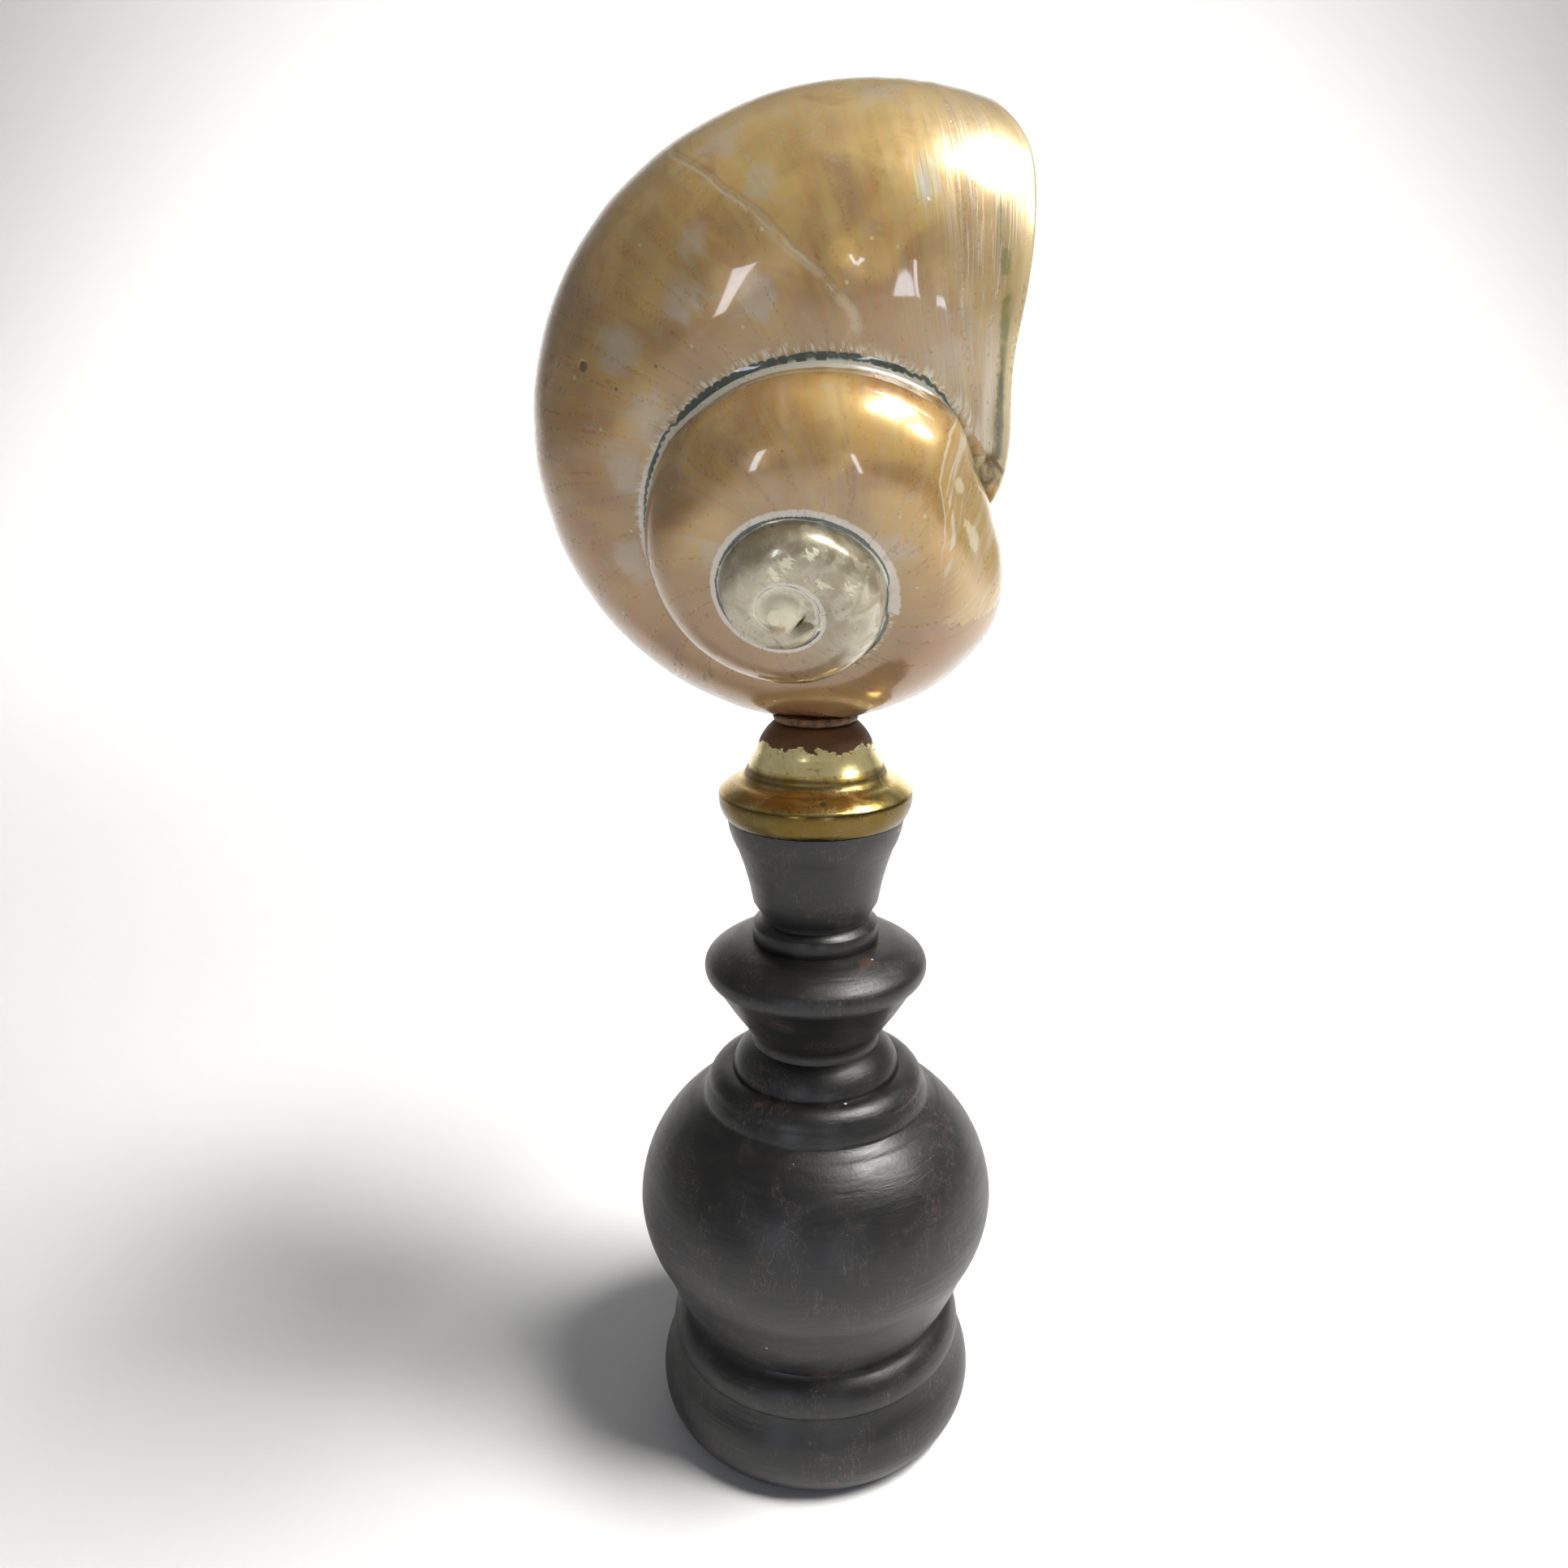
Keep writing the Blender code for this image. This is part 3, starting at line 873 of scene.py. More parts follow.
def flecks(graph, place, spacing, reach, share):
    """Small round specks, at most one to a cell."""
    cells = graph.add("ShaderNodeTexVoronoi", {}, {"Vector": place, "Scale": 1 / spacing})
    chosen = graph.add("ShaderNodeSeparateColor", {}, [cells.out("Color")])
    return graph.step(cells, reach, reach * 0.6) * chosen.math("LESS_THAN", share)


def three(graph, x, y, z):
    return graph.add("ShaderNodeCombineXYZ", {}, [x, y, z])


def object_place(graph):
    """The place on the object in mm."""
    place = graph.add("ShaderNodeTexCoord", {}, output="Object")
    values = {"Vector": place, "Scale": 1 / MM}
    return graph.add("ShaderNodeVectorMath", {"operation": "SCALE"}, values)


def split(graph, vector):
    wire = graph.add("ShaderNodeSeparateXYZ", {}, [vector])
    return wire, wire.out("Y"), wire.out("Z")


def attribute(graph, name):
    return split(graph, graph.add("ShaderNodeAttribute", {"attribute_name": name}, output="Vector"))


def near(graph, place, point, reach, fray=0.0):
    """1 close to a point of the object and 0 beyond its reach."""
    settings = {"operation": "DISTANCE"}
    gap = graph.add("ShaderNodeVectorMath", settings, [place, point], output="Value")
    return graph.step(gap + fray, reach, reach * 0.5)


def bump(graph, height):
    """Turns a height in mm into a normal."""
    return graph.add("ShaderNodeBump", {}, {"Height": height, "Distance": MM})


def finish(graph, inputs):
    """Links wires to the shader of a material, or sets plain values on it."""
    shader = graph.tree.nodes["Principled BSDF"]
    for name, value in inputs.items():
        if isinstance(value, Wire):
            graph.tree.links.new(value.socket, shader.inputs[name])
        else:
            shader.inputs[name].default_value = value


def new_material(name):
    material = bpy.data.materials.new(name)
    material.use_nodes = True
    return material, Graph(material.node_tree)


print("helpers ready")

# %% Tones of the nacre
HONEY = tone(188, 150, 74)
CARAMEL = tone(154, 113, 48)
AMBER = tone(134, 90, 40)
GOLD = tone(200, 172, 108)
LILAC = tone(180, 166, 148)
PEARL = tone(200, 192, 174)
PALE_BAND = tone(218, 213, 196)
DARK_LINE = tone(52, 70, 66)
MOSS = tone(112, 116, 58)
CREAM = tone(206, 190, 152)
OLD_GREY = tone(180, 172, 148)
OLD_DARK = tone(140, 128, 102)
CHALK = tone(230, 224, 196)
ROSE = tone(224, 186, 180)
MINT = tone(176, 212, 184)
AZURE = tone(176, 196, 224)
HOLLOW_BROWN = tone(112, 96, 68)
DARK_OLIVE = tone(62, 64, 30)
SCAR = tone(188, 168, 136)
LIP_TAN = tone(186, 168, 132)
LIP_RIM = tone(206, 186, 140)
LATER_BAND = tone(204, 196, 186)
CALLUS_GOLD = tone(180, 142, 70)
CALLUS_TAN = tone(174, 142, 80)
DEEP_MOUTH_SHADE = tone(196, 176, 146)
BLISTER_GOLD = tone(216, 176, 104)
PIT_BROWN = tone(84, 62, 36)
STAIN_BROWN = tone(140, 104, 64)
print("tones of the nacre ready")

# %% Places on the coil, and noise that follows the growth
graph = Graph(nacre.node_tree)
place = object_place(graph)
px, py, pz = split(graph, place)
along, across, turns = attribute(graph, "coil")
inner_gap, outer_gap, degrees_round = attribute(graph, "seam")
lip, callus, scar = attribute(graph, "zones")
stage, in_mouth, section_size = attribute(graph, "growth")
cloud, chalk, chip = attribute(graph, "patches")

growth_place = three(graph, along, across * 0.10, turns * 7)
fine_place = three(graph, along, across * 0.07, turns * 7)
lumps = noise(graph, place, 13, 4, 0.6)
streaks = noise(graph, growth_place, 2.2, 2, 0.8)
fine_streaks = noise(graph, fine_place, 0.9, 1, 0.4)
grain = noise(graph, place, 0.8, 3)
mottle = noise(graph, place, 4.0, 5, 1.0)
print("nodes so far:", len(graph.tree.nodes))

# %% Honey body with painted light and shade, clouds and painted sheen
DARK_PATCHES = (((-14, -32, 238), 19), ((-37, -32, 205), 20), ((16, -36, 236), 12))

body = blend(graph, graph.step(lumps, 0.36, 0.64), CARAMEL, HONEY)
body = blend(graph, graph.step(streaks, 0.42, 0.66) * 0.22, body, GOLD)
# Painted shade: the left side of the body is darker.
body = blend(graph, graph.step(px, -22, -54) * 0.6, body, AMBER)
# Painted light: the top of the body is lighter and more golden.
body = blend(graph, graph.step(pz, 250, 281) * 0.65, body, GOLD)
body = blend(graph, graph.step(mottle, 0.56, 0.72) * 0.28, body, LILAC)
body = blend(graph, graph.step(noise(graph, place, 7.0, 3, 0.8), 0.56, 0.70) * 0.5, body, CARAMEL)
# Darker towards the bottom: partly the shell's own browner base, partly painted shade.
body = blend(graph, graph.step(pz + lumps * 24, 236, 192) * 0.80, body, AMBER)
for point, reach in DARK_PATCHES:
    body = blend(graph, near(graph, place, point, reach, (lumps - 0.5) * 14) * 0.45, body, AMBER)

frayed = cloud + (mottle - 0.5) * 1.4 + (streaks - 0.5) * 0.6
body = blend(graph, graph.step(frayed, 0.25, 0.95) * 0.55, body, LILAC)
# Painted sheen: pink, green and blue tints laid into the colour stand in for the play of colours on
# nacre.
sheen_noise = noise(graph, growth_place, 2.3, 3, 2)
painted_sheen_hue = blend(graph, graph.step(sheen_noise, 0.40, 0.60), ROSE, MINT)
sheen_noise = noise(graph, fine_place, 3.1, 3, 2)
painted_sheen_hue = blend(graph, graph.step(sheen_noise, 0.48, 0.66), painted_sheen_hue, AZURE)
# Painted sheen: a faint iridescent tint over the body.
body = blend(graph, 0.08, body, painted_sheen_hue)
print("nodes so far:", len(graph.tree.nodes))

# %% [markdown]
# The last growth behind the lip is paler and streaked along the growth lines. At the corner of the
# mouth a crack holds old green and brown dirt, with a pale edge beside it.

# %% Lip and crack
CRACK_RIGHT = 31.5
CRACK_LOW = 220
CRACK_SLANT = 0.05

lip_zone = graph.step(lip, 24, 8) * (1 - in_mouth)
lip_noise = noise(graph, three(graph, stage * 1.6, across * 0.05, 0), 1.0, 4, 0.5)
lip_light = graph.step(lip_noise, 0.46, 0.64)
body = blend(graph, lip_zone * 0.35, body, LIP_TAN)
body = blend(graph, lip_zone * lip_light * 0.6, body, LILAC)
lip_noise = noise(graph, three(graph, stage * 2.6, across * 0.09, 3), 1.1, 3, 0.3)
lip_streak = graph.step(lip_noise, 0.58, 0.68)
body = blend(graph, graph.step(lip, 17, 9) * (1 - in_mouth) * lip_streak * 0.45, body, PALE_BAND)
off_line = px + (pz - CRACK_LOW) * CRACK_SLANT - CRACK_RIGHT
off_line = (off_line + (noise(graph, place, 6.0, 2) - 0.5) * 1.6).math("ABSOLUTE")
on_front = graph.step(py, -8, -14) * graph.step(pz, 214, 218)
on_front = on_front * graph.step(lip, 30, 20) * (1 - in_mouth)
moss = graph.step(off_line + (grain - 0.5) * 0.8, 1.3, 0.3) * on_front * graph.step(pz, 262, 250)
body = blend(graph, moss * (graph.step(mottle, 0.40, 0.56) * 0.5 + 0.25), body, MOSS)
pale_side = graph.step((off_line - 2.2).math("ABSOLUTE"), 1.6, 0.3) * on_front
body = blend(graph, pale_side * graph.step(pz, 244, 226) * 0.55, body, PALE_BAND)
dark_moss = graph.step(off_line + (grain - 0.5) * 0.8, 1.0, 0.2) * on_front
dark_moss = dark_moss * graph.step(pz, 240, 229)
body = blend(graph, dark_moss * 0.85, body, DARK_OLIVE)
body = blend(graph, graph.step(lip, 2.2, 0.6) * (1 - in_mouth) * 0.8, body, LIP_RIM)
print("nodes so far:", len(graph.tree.nodes))

# %% [markdown]
# The first whorls are the oldest part. Their nacre has gone grey, with fine scratches and white
# marks of wear.

# %% Old whorls
grey = graph.step(turns + (mottle - 0.5) * 0.12, -1.60, -1.84)
old = blend(graph, graph.step(lumps * 0.5 + mottle * 0.5, 0.40, 0.58), OLD_DARK, OLD_GREY)
scratch_noise = noise(graph, three(graph, px * 0.8, py, pz * 1.6 + px * 0.9), 2.4, 6, 2.0)
scratch = graph.step((scratch_noise - 0.5).math("ABSOLUTE"), 0.020, 0.004)
old = blend(graph, scratch * graph.step(mottle, 0.44, 0.56) * 0.5, old, CHALK)
body = blend(graph, grey, body, old)
rim_dark = graph.step(inner_gap, 11, 1.5) * (1 - in_mouth)
body = blend(graph, rim_dark * 0.30, body, OLD_DARK)
print("nodes so far:", len(graph.tree.nodes))

# %% [markdown]
# Each suture is a thin dark line, because the wheel has cut through to the dark layer there. A pale
# band of nacre lies on its inner side, and on its outer side white feathers run up the whorl. The
# two gaps of the attribute tell the sides apart, so bands and line stay together all the way round.

# %% Sutures
seam_fray = noise(graph, three(graph, along, 0.0, turns * 5), 2.2, 4, 0.4)
seam_fray = (seam_fray - 0.5) * section_size
wobble = (noise(graph, place, 5.0, 3) - 0.5) * section_size * 0.3
inner_gap, outer_gap = inner_gap + wobble, outer_gap - wobble
on_last_whorl = turns.math("GREATER_THAN", BODY_START / 360)
full_band = graph.step(turns, -1.30, -1.20) * graph.step(turns, -1.01, -1.04)
band_width = (full_band * 3.6 + 1.2) * section_size + 0.15
band = graph.step((outer_gap + seam_fray * 2.2) / band_width, 1.0, 0.72)
body = blend(graph, band * 0.92, body, PALE_BAND)
feather_place = three(graph, along * 1.8, inner_gap * 0.28, turns * 5)
feather = graph.step(noise(graph, feather_place, 1.3, 5, 0.5), 0.44, 0.60)
feather_reach = graph.step((inner_gap - seam_fray * 5) / section_size, 4.2, 0.6)
feather_reach = feather_reach * graph.step(inner_gap, 0.1, 0.5) * graph.step(stage, -4, -9)
body = blend(graph, feather * feather_reach * 0.75, body, PALE_BAND)
left_side = graph.step(turns, -0.20, -0.33) * graph.step(turns, -0.64, -0.52)
later_band = on_last_whorl * left_side + (1 - on_last_whorl) * 1.9
later_width = later_band * section_size * 2.6 + 0.05
later = graph.step((inner_gap + seam_fray * 2.6) / later_width, 1.0, 0.75)
body = blend(graph, later * later_band.math("MINIMUM", 1) * 0.8, body, LATER_BAND)
line_gap = inner_gap.math("MINIMUM", outer_gap) + (grain - 0.5) * 0.15
line_gap = line_gap / (section_size * 0.16 + 0.14)
suture = graph.step(line_gap, 1.0, 0.45)
body = blend(graph, suture * 0.92, body, DARK_LINE)
print("nodes so far:", len(graph.tree.nodes))

# %% [markdown]
# The scar is a pale, slightly sunken line, where the animal once mended its broken lip. The callus
# is a yellow glaze with a white edge. Inside the mouth the nacre is pale and was never ground;
# deeper in it is painted browner, as painted shade.

# %% Scar, callus and mouth
scar_wave = scar + (noise(graph, place, 4.5, 2) - 0.5) * 1.2
scar_wave = scar_wave + (grain - 0.5) * 0.8
scar_width = graph.step(degrees_round, -25, -68) * 0.9 + 0.9
on_scar = graph.step(scar_wave.math("ABSOLUTE") / scar_width, 1.0, 0.4)
body = blend(graph, on_scar * graph.step(mottle, 0.30, 0.50) * 0.65, body, SCAR)
body = blend(graph, graph.step((scar_wave - 1.1).math("ABSOLUTE"), 0.6, 0.1) * 0.25, body, AMBER)

callus_wave = callus + (mottle - 0.5) * 1.5
callus_side = graph.step(degrees_round, -76, -56) * (1 - in_mouth)
on_callus = graph.step(callus_wave, 0.0, 0.4) * callus_side
callus_skin = blend(graph, graph.step(callus_wave, 2.2, 4.4), CALLUS_GOLD, CALLUS_TAN)
callus_skin = blend(graph, graph.step(fine_streaks, 0.50, 0.62) * 0.25, callus_skin, PEARL)
# A trace of the painted sheen on the callus.
callus_skin = blend(graph, 0.04, callus_skin, painted_sheen_hue)
body = blend(graph, on_callus, body, callus_skin)
callus_rim = graph.step(callus_wave.math("ABSOLUTE"), 0.45, 0.10)
body = blend(graph, callus_rim * callus_side * 0.6, body, PALE_BAND)
glaze_streak = graph.step((callus_wave - 3.4).math("ABSOLUTE"), 1.4, 0.3)
glaze_streak = glaze_streak * graph.step(fine_streaks, 0.40, 0.52)
body = blend(graph, glaze_streak * callus_side * 0.6, body, PALE_BAND)

# Painted shade: the mouth is browner the deeper it goes.
mouth_skin = blend(graph, graph.step(lip, 3, 30) * 0.5, PEARL, DEEP_MOUTH_SHADE)
# Painted sheen: a stronger iridescent tint inside the mouth.
mouth_skin = blend(graph, 0.35, mouth_skin, painted_sheen_hue)
mouth_skin = blend(graph, graph.step(fine_streaks, 0.52, 0.64) * 0.3, mouth_skin, PALE_BAND)
body = blend(graph, in_mouth, body, mouth_skin)
print("nodes so far:", len(graph.tree.nodes))

# %% [markdown]
# Damage comes last, because it lies over everything: chips and the broken hollow at the mouth, the
# blister, holes of small borers, the worn apex, and pale and golden flecks. A small rainbow glint
# is laid in here too, as a painted reflection.

# %% Chips, pits and wear
HOLLOW = ((29.6, -21.5, 215.0), 5.2)
BLISTER_REACH = 2.8
PITS = (((4.4, -37.4, 245.6), 0.8), ((-39.7, -24.2, 232.7), 1.2))
PAINTED_GLINT = ((16.6, -33.5, 259.9), 5.0)
WORN_APEX = ((-6.3, -41.4, 192.6), 5.6)
APEX_STAIN = ((-6.4, -39.4, 190.5), 2.2)

chipped = graph.step(chip + (grain - 0.5) * 0.5, 0.30, 0.55)
hollow = near(graph, place, *HOLLOW, (grain - 0.5) * 2.6)
chip_skin = blend(graph, graph.step(mottle, 0.42, 0.58), CREAM, HOLLOW_BROWN)
body = blend(graph, chipped * (1 - hollow) * 0.9, body, CREAM)
body = blend(graph, hollow, body, chip_skin)
blister = near(graph, place, DENTS["blister"][0], BLISTER_REACH)
body = blend(graph, blister * 0.65, body, BLISTER_GOLD)
pit, other_pit = (near(graph, place, *spot) for spot in PITS)
pit = pit.math("MAXIMUM", other_pit)
body = blend(graph, pit * 0.85, body, PIT_BROWN)
# Painted reflection: a small rainbow glint laid into the colour.
painted_glint = near(graph, place, *PAINTED_GLINT)
body = blend(graph, painted_glint * graph.step(fine_streaks, 0.46, 0.60) * 0.5, body, painted_sheen_hue)

chalky = graph.step(chalk * 0.7 + (scratch_noise - 0.5) * 1.6, 0.42, 0.62)
chalky = chalky * graph.step(chalk, 0.05, 0.3)
worn_apex = near(graph, place, *WORN_APEX, (scratch_noise - 0.5) * 4.0)
chalky = chalky.math("MAXIMUM", worn_apex)
stain = near(graph, place, *APEX_STAIN, (grain - 0.5) * 1.4)
body = blend(graph, chalky * 0.85, body, CHALK)
body = blend(graph, stain * 0.6, body, STAIN_BROWN)
pale_flecks = flecks(graph, place, 4.2, 0.10, 0.28)
gold_flecks = flecks(graph, three(graph, px + 31, py, pz), 3.4, 0.09, 0.20)
gold_flecks = gold_flecks * graph.step(px, -10, -30)
body = blend(graph, pale_flecks * (1 - in_mouth) * 0.7, body, CREAM)
body = blend(graph, gold_flecks * (1 - in_mouth) * 0.8, body, GOLD)

pinholes = flecks(graph, three(graph, px, py + 17, pz), 7.0, 0.055, 0.30)
body = blend(graph, pinholes * 0.8, body, PIT_BROWN)
print("nodes so far:", len(graph.tree.nodes))

# %% [markdown]
# The wheel leaves nacre glossy but not even, so the roughness varies a little with the growth.
# Chalk and broken places have no polish. Low relief, such as the sutures, the scar and the pits, is
# a height in millimetres that goes to one Bump node.

# %% Gloss and low relief
SHARPEST_TURN = math.radians(38)

dull = chalky.math("MAXIMUM", hollow * 0.9)
roughness = (grain - 0.5) * 0.12 + (streaks - 0.5) * 0.16 + 0.30 + dull * 0.35 + suture * 0.2
low_height = (noise(graph, place, 9.0, 2) - 0.5) * 0.16
height = low_height + lip_zone * (lip_light - 0.5) * 0.02 - suture * 0.06
height = height - pale_flecks * 0.03 - pinholes * 0.1
height = height + (grain - 0.5) * dull * 0.14 - pit * 0.3
height = height - graph.step(scar_wave.math("ABSOLUTE"), 0.6, 0.1) * 0.04
finish(graph, {
    "Base Color": body,
    "Roughness": roughness,
    "Coat Weight": 1 - dull,
    "Normal": bump(graph, height),
    "Metallic": 0.30,
    "Coat Roughness": 0.05,
    "Coat IOR": 1.5,
    "Subsurface Weight": 0.06,
    "Subsurface Radius": (1.0, 0.6, 0.3),
    "Subsurface Scale": 2 * MM,
    "Thin Film Thickness": 380.0,
    "Thin Film IOR": 1.5,
})
shell.data.shade_smooth()
shell.data.set_sharp_from_angle(angle=SHARPEST_TURN)
print("nodes in the nacre:", len(nacre.node_tree.nodes))

# %% [markdown]
# ## The stand, the cap and the glue
#
# All three are round, so each is an outline turned about the stand's axis. The outlines are those
# of the solids, in millimetres, with smaller steps.

# %% Turned outlines
FOOT_AND_BALL = (
    (31.5, 0.0, 0.0),
    (36.4, 8.5, 1.3),
    (34.6, 15.5, 0.5),
    (32.9, 19.5, -0.1),
    (33.6, 20.8, 0.1),
    (31.0, 27.0, 0.9),
    (29.8, 28.3, -0.1),
    (36.2, 42.5, 0.4),
    (40.0, 56.0, 0.9),
    (28.3, 78.5, 2.9),
)
NECK_BEADS = (
    (25.2, 80.6, -0.2),
    (24.0, 84.0, 0.2),
    (18.6, 87.4, 1.2),
    (14.1, 93.5, 0.9),
)
FLARE_AND_CUP = (
    (14.6, 96.5, -0.3),
    (22.4, 108.5, 0.2),
    (22.7, 114.5, 1.7),
    (17.4, 117.3, 0.3),
    (13.6, 117.6, 0.0),
    (13.4, 121.4, 0.2),
    (11.6, 122.4, 0.0),
    (11.8, 123.6, 0.0),
    (13.5, 126.5, 0.0),
    (16.6, 138.5, -0.3),
    (18.6, 144.5, 0.3),
    (18.7, 145.3, 0.0),
)
TENON = (
    (17.7, 145.3, 0.0),
    (17.7, 150.2, 0.0),
    (12.3, 154.4, 0.0),
    (12.3, 157.6, 0.0),
    (7.2, 163.6, 0.0),
)
BRASS_OUTSIDE = (
    (19.0, 145.6, 0.0),
    (20.3, 148.6, 0.2),
    (20.3, 151.0, 0.1),
    (17.0, 153.4, 0.2),
    (14.6, 155.4, -0.4),
    (14.1, 156.4, 0.1),
    (12.4, 159.5, 0.0),
    (8.7, 165.5, 0.6),
)
GAP = 0.3
STAND_SIDES = 160
CAP_SIDES = 128
SHARPEST_BEAD = math.radians(50)


def turned(name, outline, sides, skin):
    piece = spin_outline(name, outline, sides, Vector(), Vector((0, 0, 1)), Vector((1, 0, 0)))
    piece.data.materials.append(skin)
    piece.data.shade_smooth()
    piece.data.set_sharp_from_angle(angle=SHARPEST_BEAD)
    return piece


print("points of the stand:", len(FOOT_AND_BALL + NECK_BEADS + FLARE_AND_CUP + TENON))

# %% [markdown]
# Brushed paint on turned wood has fine rings from the lathe, brush marks and lumps in its skin,
# rubbed places where the brown wood shows through, thin scuffs, and pale specks of dust.

# %% Black paint
PAINT_BLACK = tone(16, 15, 15)
PAINT_GREY = tone(28, 26, 25)
BARE_WOOD = tone(92, 58, 44)
SCUFF_GREY = tone(108, 102, 96)
DUST = tone(206, 202, 192)

black_paint, graph = new_material("black_paint")
place = object_place(graph)
px, py, pz = split(graph, place)
rings = noise(graph, three(graph, px * 0.05, py * 0.05, pz), 1.1, 4, 0.3)
brushed = noise(graph, three(graph, px * 0.16, py * 0.16, pz * 0.9), 1.5, 4, 0.8)
lumps = noise(graph, place, 10, 4, 0.8)
grain = noise(graph, place, 0.7, 3)
skin = blend(graph, graph.step(lumps, 0.38, 0.66), PAINT_BLACK, PAINT_GREY)
rubbed = graph.step(lumps, 0.58, 0.70) * graph.step(brushed, 0.54, 0.62)
skin = blend(graph, rubbed * 0.45, skin, BARE_WOOD)
scuffs = noise(graph, three(graph, px * 0.9, py * 0.9, pz * 0.14), 1.6, 4, 1.4)
scuff = graph.step((scuffs - 0.5).math("ABSOLUTE"), 0.010, 0.002) * graph.step(lumps, 0.46, 0.60)
skin = blend(graph, scuff * 0.5, skin, SCUFF_GREY)
specks = flecks(graph, place, 5.5, 0.07, 0.22)
skin = blend(graph, specks * 0.85, skin, DUST)
height = (rings - 0.5) * 0.05 + (brushed - 0.5) * 0.12 + (grain - 0.5) * 0.03
height = height + specks * 0.05 - scuff * 0.02
finish(graph, {
    "Base Color": skin,
    "Roughness": (brushed - 0.5) * 0.25 + (lumps - 0.5) * 0.2 + 0.42 + specks * 0.3,
    "Normal": bump(graph, height),
    "Coat Weight": 0.12,
    "Coat Roughness": 0.3,
})
print("nodes in the black paint:", len(black_paint.node_tree.nodes))

# %% [markdown]
# The cap is thin brass, spun or turned. Its cone is painted paler, as a painted reflection,
# and its skirt browner away from its right side, as painted shade. Glue has run down over its
# top and dried there with a ragged edge. Small pits show the dark base.

# %% Old brass
BRASS_DEEP = tone(222, 192, 108)
BRASS_LIGHT = tone(240, 222, 156)
BRASS_OLIVE = tone(84, 66, 30)
BRASS_BROWN = tone(138, 100, 50)
BRASS_PAINTED_REFLECTION = tone(250, 240, 184)
GROOVE_BROWN = tone(86, 64, 30)
GLUE_DARK = tone(70, 44, 24)
GLUE_LIGHT = tone(110, 74, 40)
TARNISH = tone(112, 82, 40)
PIT_DARK = tone(46, 32, 18)
BIG_PIT = ((1.4, -17.8, 152.6), 0.9)

aged_brass, graph = new_material("aged_brass")
place = object_place(graph)
px, py, pz = split(graph, place)
lumps = noise(graph, place, 6, 5, 1.0)
grain = noise(graph, place, 0.7, 4)
spun = noise(graph, three(graph, px * 0.05, py * 0.05, pz), 0.5, 3)
metal = blend(graph, graph.step(lumps, 0.40, 0.62), BRASS_DEEP, BRASS_LIGHT)
olive = graph.step(pz, 151.4, 150.8)
metal = blend(graph, olive * 0.92, metal, BRASS_OLIVE)
# Painted shade: the skirt is browner except towards its right side.
skirt_painted_shade = graph.step(pz, 150.8, 151.6) * graph.step(pz, 155.6, 154.8)
skirt_painted_shade = skirt_painted_shade * graph.step(px + (lumps - 0.5) * 30, 14, 2)
metal = blend(graph, skirt_painted_shade * 0.60, metal, BRASS_BROWN)
groove = graph.step((pz - 155.6).math("ABSOLUTE"), 1.3, 0.4)
metal = blend(graph, groove * 0.8, metal, GROOVE_BROWN)
# Painted reflection: the cone is paler; its metallic is lowered too, so that the paler colour
# shows.
cone_painted_reflection = graph.step(pz, 156.6, 157.4)
metal = blend(graph, cone_painted_reflection * 0.6, metal, BRASS_PAINTED_REFLECTION)
stain_edge = pz + (noise(graph, place, 1.6, 5) - 0.5) * 4.0
stain_edge = stain_edge + (noise(graph, place, 5.0, 2) - 0.5) * 3.0
stain = graph.step(stain_edge, 161.3, 161.8)
metal = blend(graph, stain, metal, blend(graph, lumps, GLUE_DARK, GLUE_LIGHT))
tarnish = graph.step(noise(graph, place, 2.0, 5, 1.2), 0.60, 0.70) * 0.6
metal = blend(graph, tarnish, metal, TARNISH)
pits = flecks(graph, place, 1.7, 0.14, 0.35)
pits = pits.math("MAXIMUM", near(graph, place, *BIG_PIT))
metal = blend(graph, pits * 0.8, metal, PIT_DARK)
metallic = 1 - stain * 0.9 - pits * 0.4 - cone_painted_reflection * (1 - stain) * 0.35
roughness = (lumps - 0.5) * 0.2 + 0.24 + stain * 0.35 + tarnish * 0.25
roughness = roughness + groove * 0.2 + (grain - 0.5) * 0.15
height = (spun - 0.5) * 0.02 + (grain - 0.5) * 0.02 - pits * 0.12
height = height + stain * 0.08 + stain * lumps * 0.2
finish(graph, {
    "Base Color": metal,
    "Metallic": metallic,
    "Roughness": roughness,
    "Normal": bump(graph, height),
})
print("nodes in the brass:", len(aged_brass.node_tree.nodes))

# %% [markdown]
# The bead of old mastic squeezed out between shell and cap is lumpy and dull. Its CAD mesh has the
# right shape already, so it only gets a material.

# %% Old glue
old_glue, graph = new_material("old_glue")
place = object_place(graph)
lumps = noise(graph, place, 1.6, 5, 0.8)
finish(graph, {
    "Base Color": blend(graph, graph.step(lumps, 0.38, 0.62), tone(58, 36, 20), tone(112, 76, 42)),
    "Roughness": 0.45 + (lumps - 0.5) * 0.5,
    "Normal": bump(graph, lumps * 0.35 + noise(graph, place, 0.4, 3) * 0.06),
})
print("materials:", [material.name for material in bpy.data.materials])

# %% [markdown]
# The outline of the cap runs up its outside and down again round the tenon, with the gap between.
# The stand is one turning, from the flat of its foot to the top of its tenon.

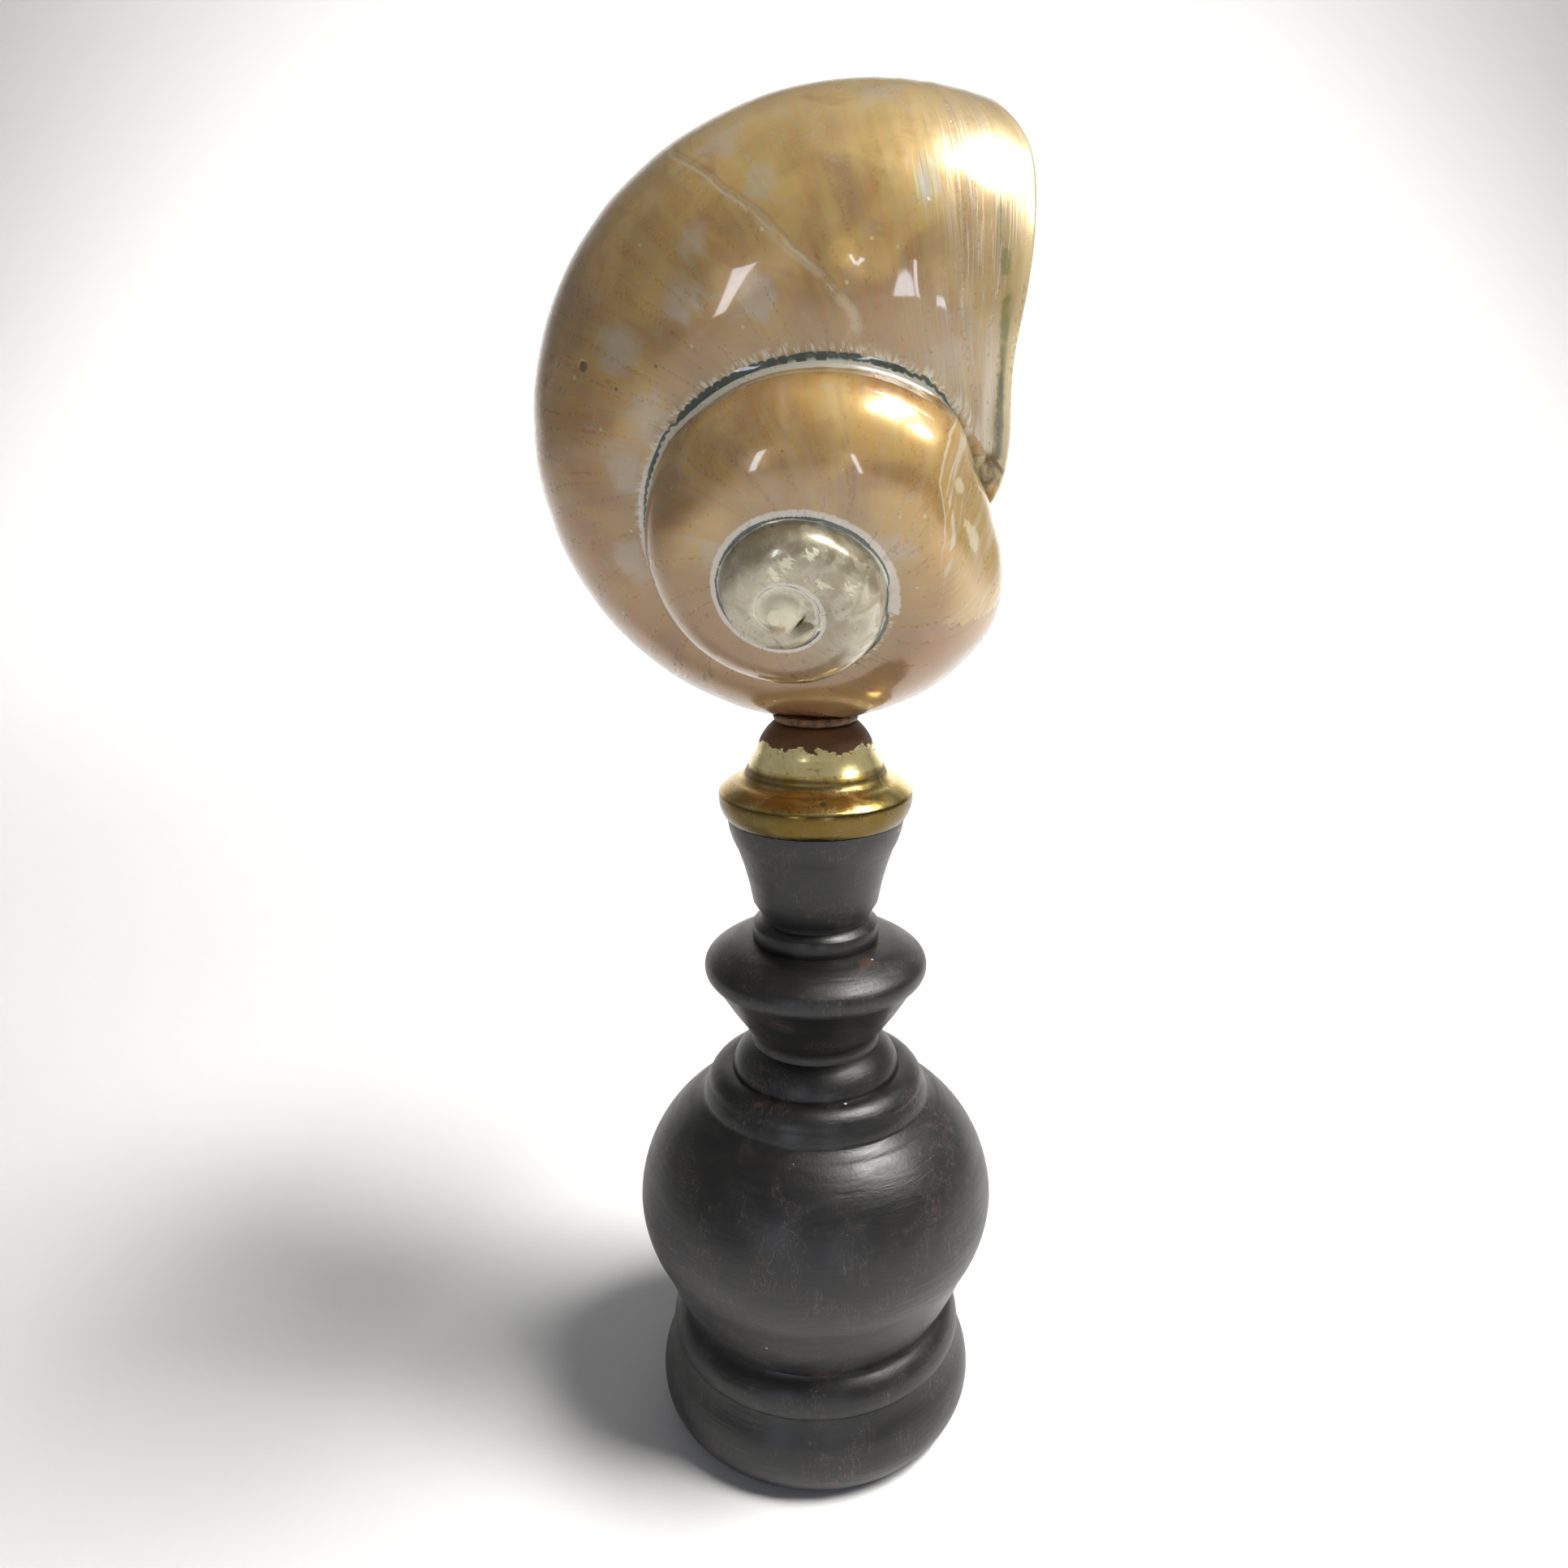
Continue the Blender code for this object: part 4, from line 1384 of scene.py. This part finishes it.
# %% Turn the stand and the cap
centre_bottom, centre_top = ((0.0, 0.0, 0.0),), ((0.0, TENON[-1][1], 0.0),)
stand_points = centre_bottom + FOOT_AND_BALL + NECK_BEADS + FLARE_AND_CUP + TENON + centre_top
stand = turned("turned_stand_mesh", bowed_outline(stand_points), STAND_SIDES, black_paint)
tenon_hole = [point + Vector((GAP, GAP)) * MM for point in bowed_outline(TENON)]
tenon_hole[0].y = BRASS_OUTSIDE[0][1] * MM
tenon_hole[-1].y = BRASS_OUTSIDE[-1][1] * MM
cap_outline = bowed_outline(BRASS_OUTSIDE) + tenon_hole[::-1]
cap = turned("brass_cap_mesh", cap_outline, CAP_SIDES, aged_brass)
bpy.data.objects["mastic_bead"].material_slots[0].material = old_glue
print(stand.name, len(stand.data.polygons), cap.name, len(cap.data.polygons))

# %% [markdown]
# ## Camera, table and light
#
# The photo was taken from close by with a phone, so its lens is wide and its perspective strong.
# One big soft window, high on the right with a small one below it, makes the large highlight on
# the body. Two tall narrow ones, left and right in front, make the thin upright highlights on the
# whorls and the ball.

# %% Camera
CAMERA_PLACE = (0.0, -0.230, 0.2165)
CAMERA_TILT = math.radians(74.3)
LENS = 26.09
SHIFT = -0.0202

camera = bpy.data.objects.new("camera", bpy.data.cameras.new("camera"))
bpy.context.scene.collection.objects.link(camera)
camera.location = CAMERA_PLACE
camera.rotation_euler = (CAMERA_TILT, 0.0, 0.0)
camera.data.lens = LENS
camera.data.sensor_width = 36.0
camera.data.shift_x = SHIFT
camera.data.clip_start = 0.01
bpy.context.scene.camera = camera
bpy.context.scene.view_settings.view_transform = "Standard"
print("lens:", camera.data.lens, "mm")

# %% [markdown]
# The table is one pale sheet that sweeps up into a wall behind, as in a photo studio, so that no
# horizon shows. A lamp with a narrow spread lights only that wall.

# %% Table and wall
SWEEP_START = 0.9
SWEEP_RADIUS = 1.2
SWEEP_STEPS = 24
SHEET_HALF = 4.0
SHEET_FRONT = -3.0
WALL_TOP = 4.0
TABLE_GREY = (0.50, 0.50, 0.50, 1.0)

floor = bpy.data.objects.new("floor", bpy.data.meshes.new("floor"))
profile = [(SHEET_FRONT, 0.0)]
for step in range(SWEEP_STEPS + 1):
    turned_by = math.pi / 2 * step / SWEEP_STEPS
    profile.append((
        SWEEP_START + SWEEP_RADIUS * math.sin(turned_by),
        SWEEP_RADIUS * (1 - math.cos(turned_by)),
    ))
profile.append((SWEEP_START + SWEEP_RADIUS, WALL_TOP))
bm = bmesh.new()
rows = [[bm.verts.new((side, y, z)) for side in (-SHEET_HALF, SHEET_HALF)] for y, z in profile]
for low, high in zip(rows, rows[1:]):
    bm.faces.new((low[0], low[1], high[1], high[0]))
bm.to_mesh(floor.data)
bm.free()
floor.data.shade_smooth()
table_skin, graph = new_material("pale_table")
finish(graph, {"Base Color": TABLE_GREY, "Roughness": 0.8})
floor.data.materials.append(table_skin)
bpy.context.scene.collection.objects.link(floor)
print("sheet:", len(floor.data.polygons), "faces")

# %% [markdown]
# The photo's light comes from windows. Each is a rectangular lamp 1 m from the shell, and a weak
# white sky fills the shadows. Light linking keeps the wall's lamp off everything but the sheet.

# %% Sky and lamps
SKY_STRENGTH = 0.22
SHELL_MIDDLE = Vector((0, 0, 0.22))
DAYLIGHT = (1.0, 0.98, 0.95)
SKYLIGHT = (0.80, 0.86, 1.0)
WALL_LAMP = Vector((0, 0.7, 2.2))
WALL_AIM = Vector((0, 1.7, 0.3))

world = bpy.data.worlds.new("studio")
bpy.context.scene.world = world
world.use_nodes = True
background = world.node_tree.nodes["Background"]
background.inputs["Color"].default_value = (1.0, 1.0, 1.0, 1.0)
background.inputs["Strength"].default_value = SKY_STRENGTH


def lamp(name, place, aim, width, height, power, color=DAYLIGHT, spread=180):
    """A soft rectangular lamp at a place, turned to what it lights."""
    data = bpy.data.lights.new(name, "AREA")
    data.shape = "RECTANGLE"
    data.size, data.size_y = width, height
    data.energy = power
    data.color = color
    data.spread = math.radians(spread)
    made = bpy.data.objects.new(name, data)
    made.location = place
    made.rotation_euler = (aim - place).to_track_quat("-Z", "Y").to_euler()
    bpy.context.scene.collection.objects.link(made)
    return made


def from_shell(azimuth, elevation):
    """A place 1 m from the shell: azimuth 0 is the camera's side, 90 its right."""
    turned_by, raised = math.radians(azimuth), math.radians(elevation)
    level = math.cos(raised)
    right, back = math.sin(turned_by) * level, -math.cos(turned_by) * level
    return SHELL_MIDDLE + Vector((right, back, math.sin(raised)))


lamp("window", from_shell(76, 57), SHELL_MIDDLE, 0.50, 0.28, 15.0)
lamp("low_window", from_shell(74, 37), SHELL_MIDDLE, 0.24, 0.16, 3.0)
lamp("left_strip", from_shell(-23, 4), SHELL_MIDDLE, 0.07, 0.38, 0.9, SKYLIGHT)
lamp("right_strip", from_shell(13, -3), SHELL_MIDDLE, 0.04, 0.40, 0.6, SKYLIGHT)
wall_wash = lamp("wall_wash", WALL_LAMP, WALL_AIM, 2.4, 0.5, 44.0, spread=90)
backdrop = bpy.data.collections.new("backdrop")
backdrop.objects.link(floor)
wall_wash.light_linking.receiver_collection = backdrop
print("lamps:", [item.name for item in bpy.data.lights])

# %% [markdown]
# ## Hand over
#
# Every piece rides on the one body and stands for its solid.

# %% Ride and stand for the solids
for piece, node, slot in (
    (shell, "turban_shell", "nacre"),
    (cap, "brass_cap", "aged_brass"),
    (stand, "turned_stand", "black_paint"),
):
    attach(piece, "root")
    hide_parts(node)
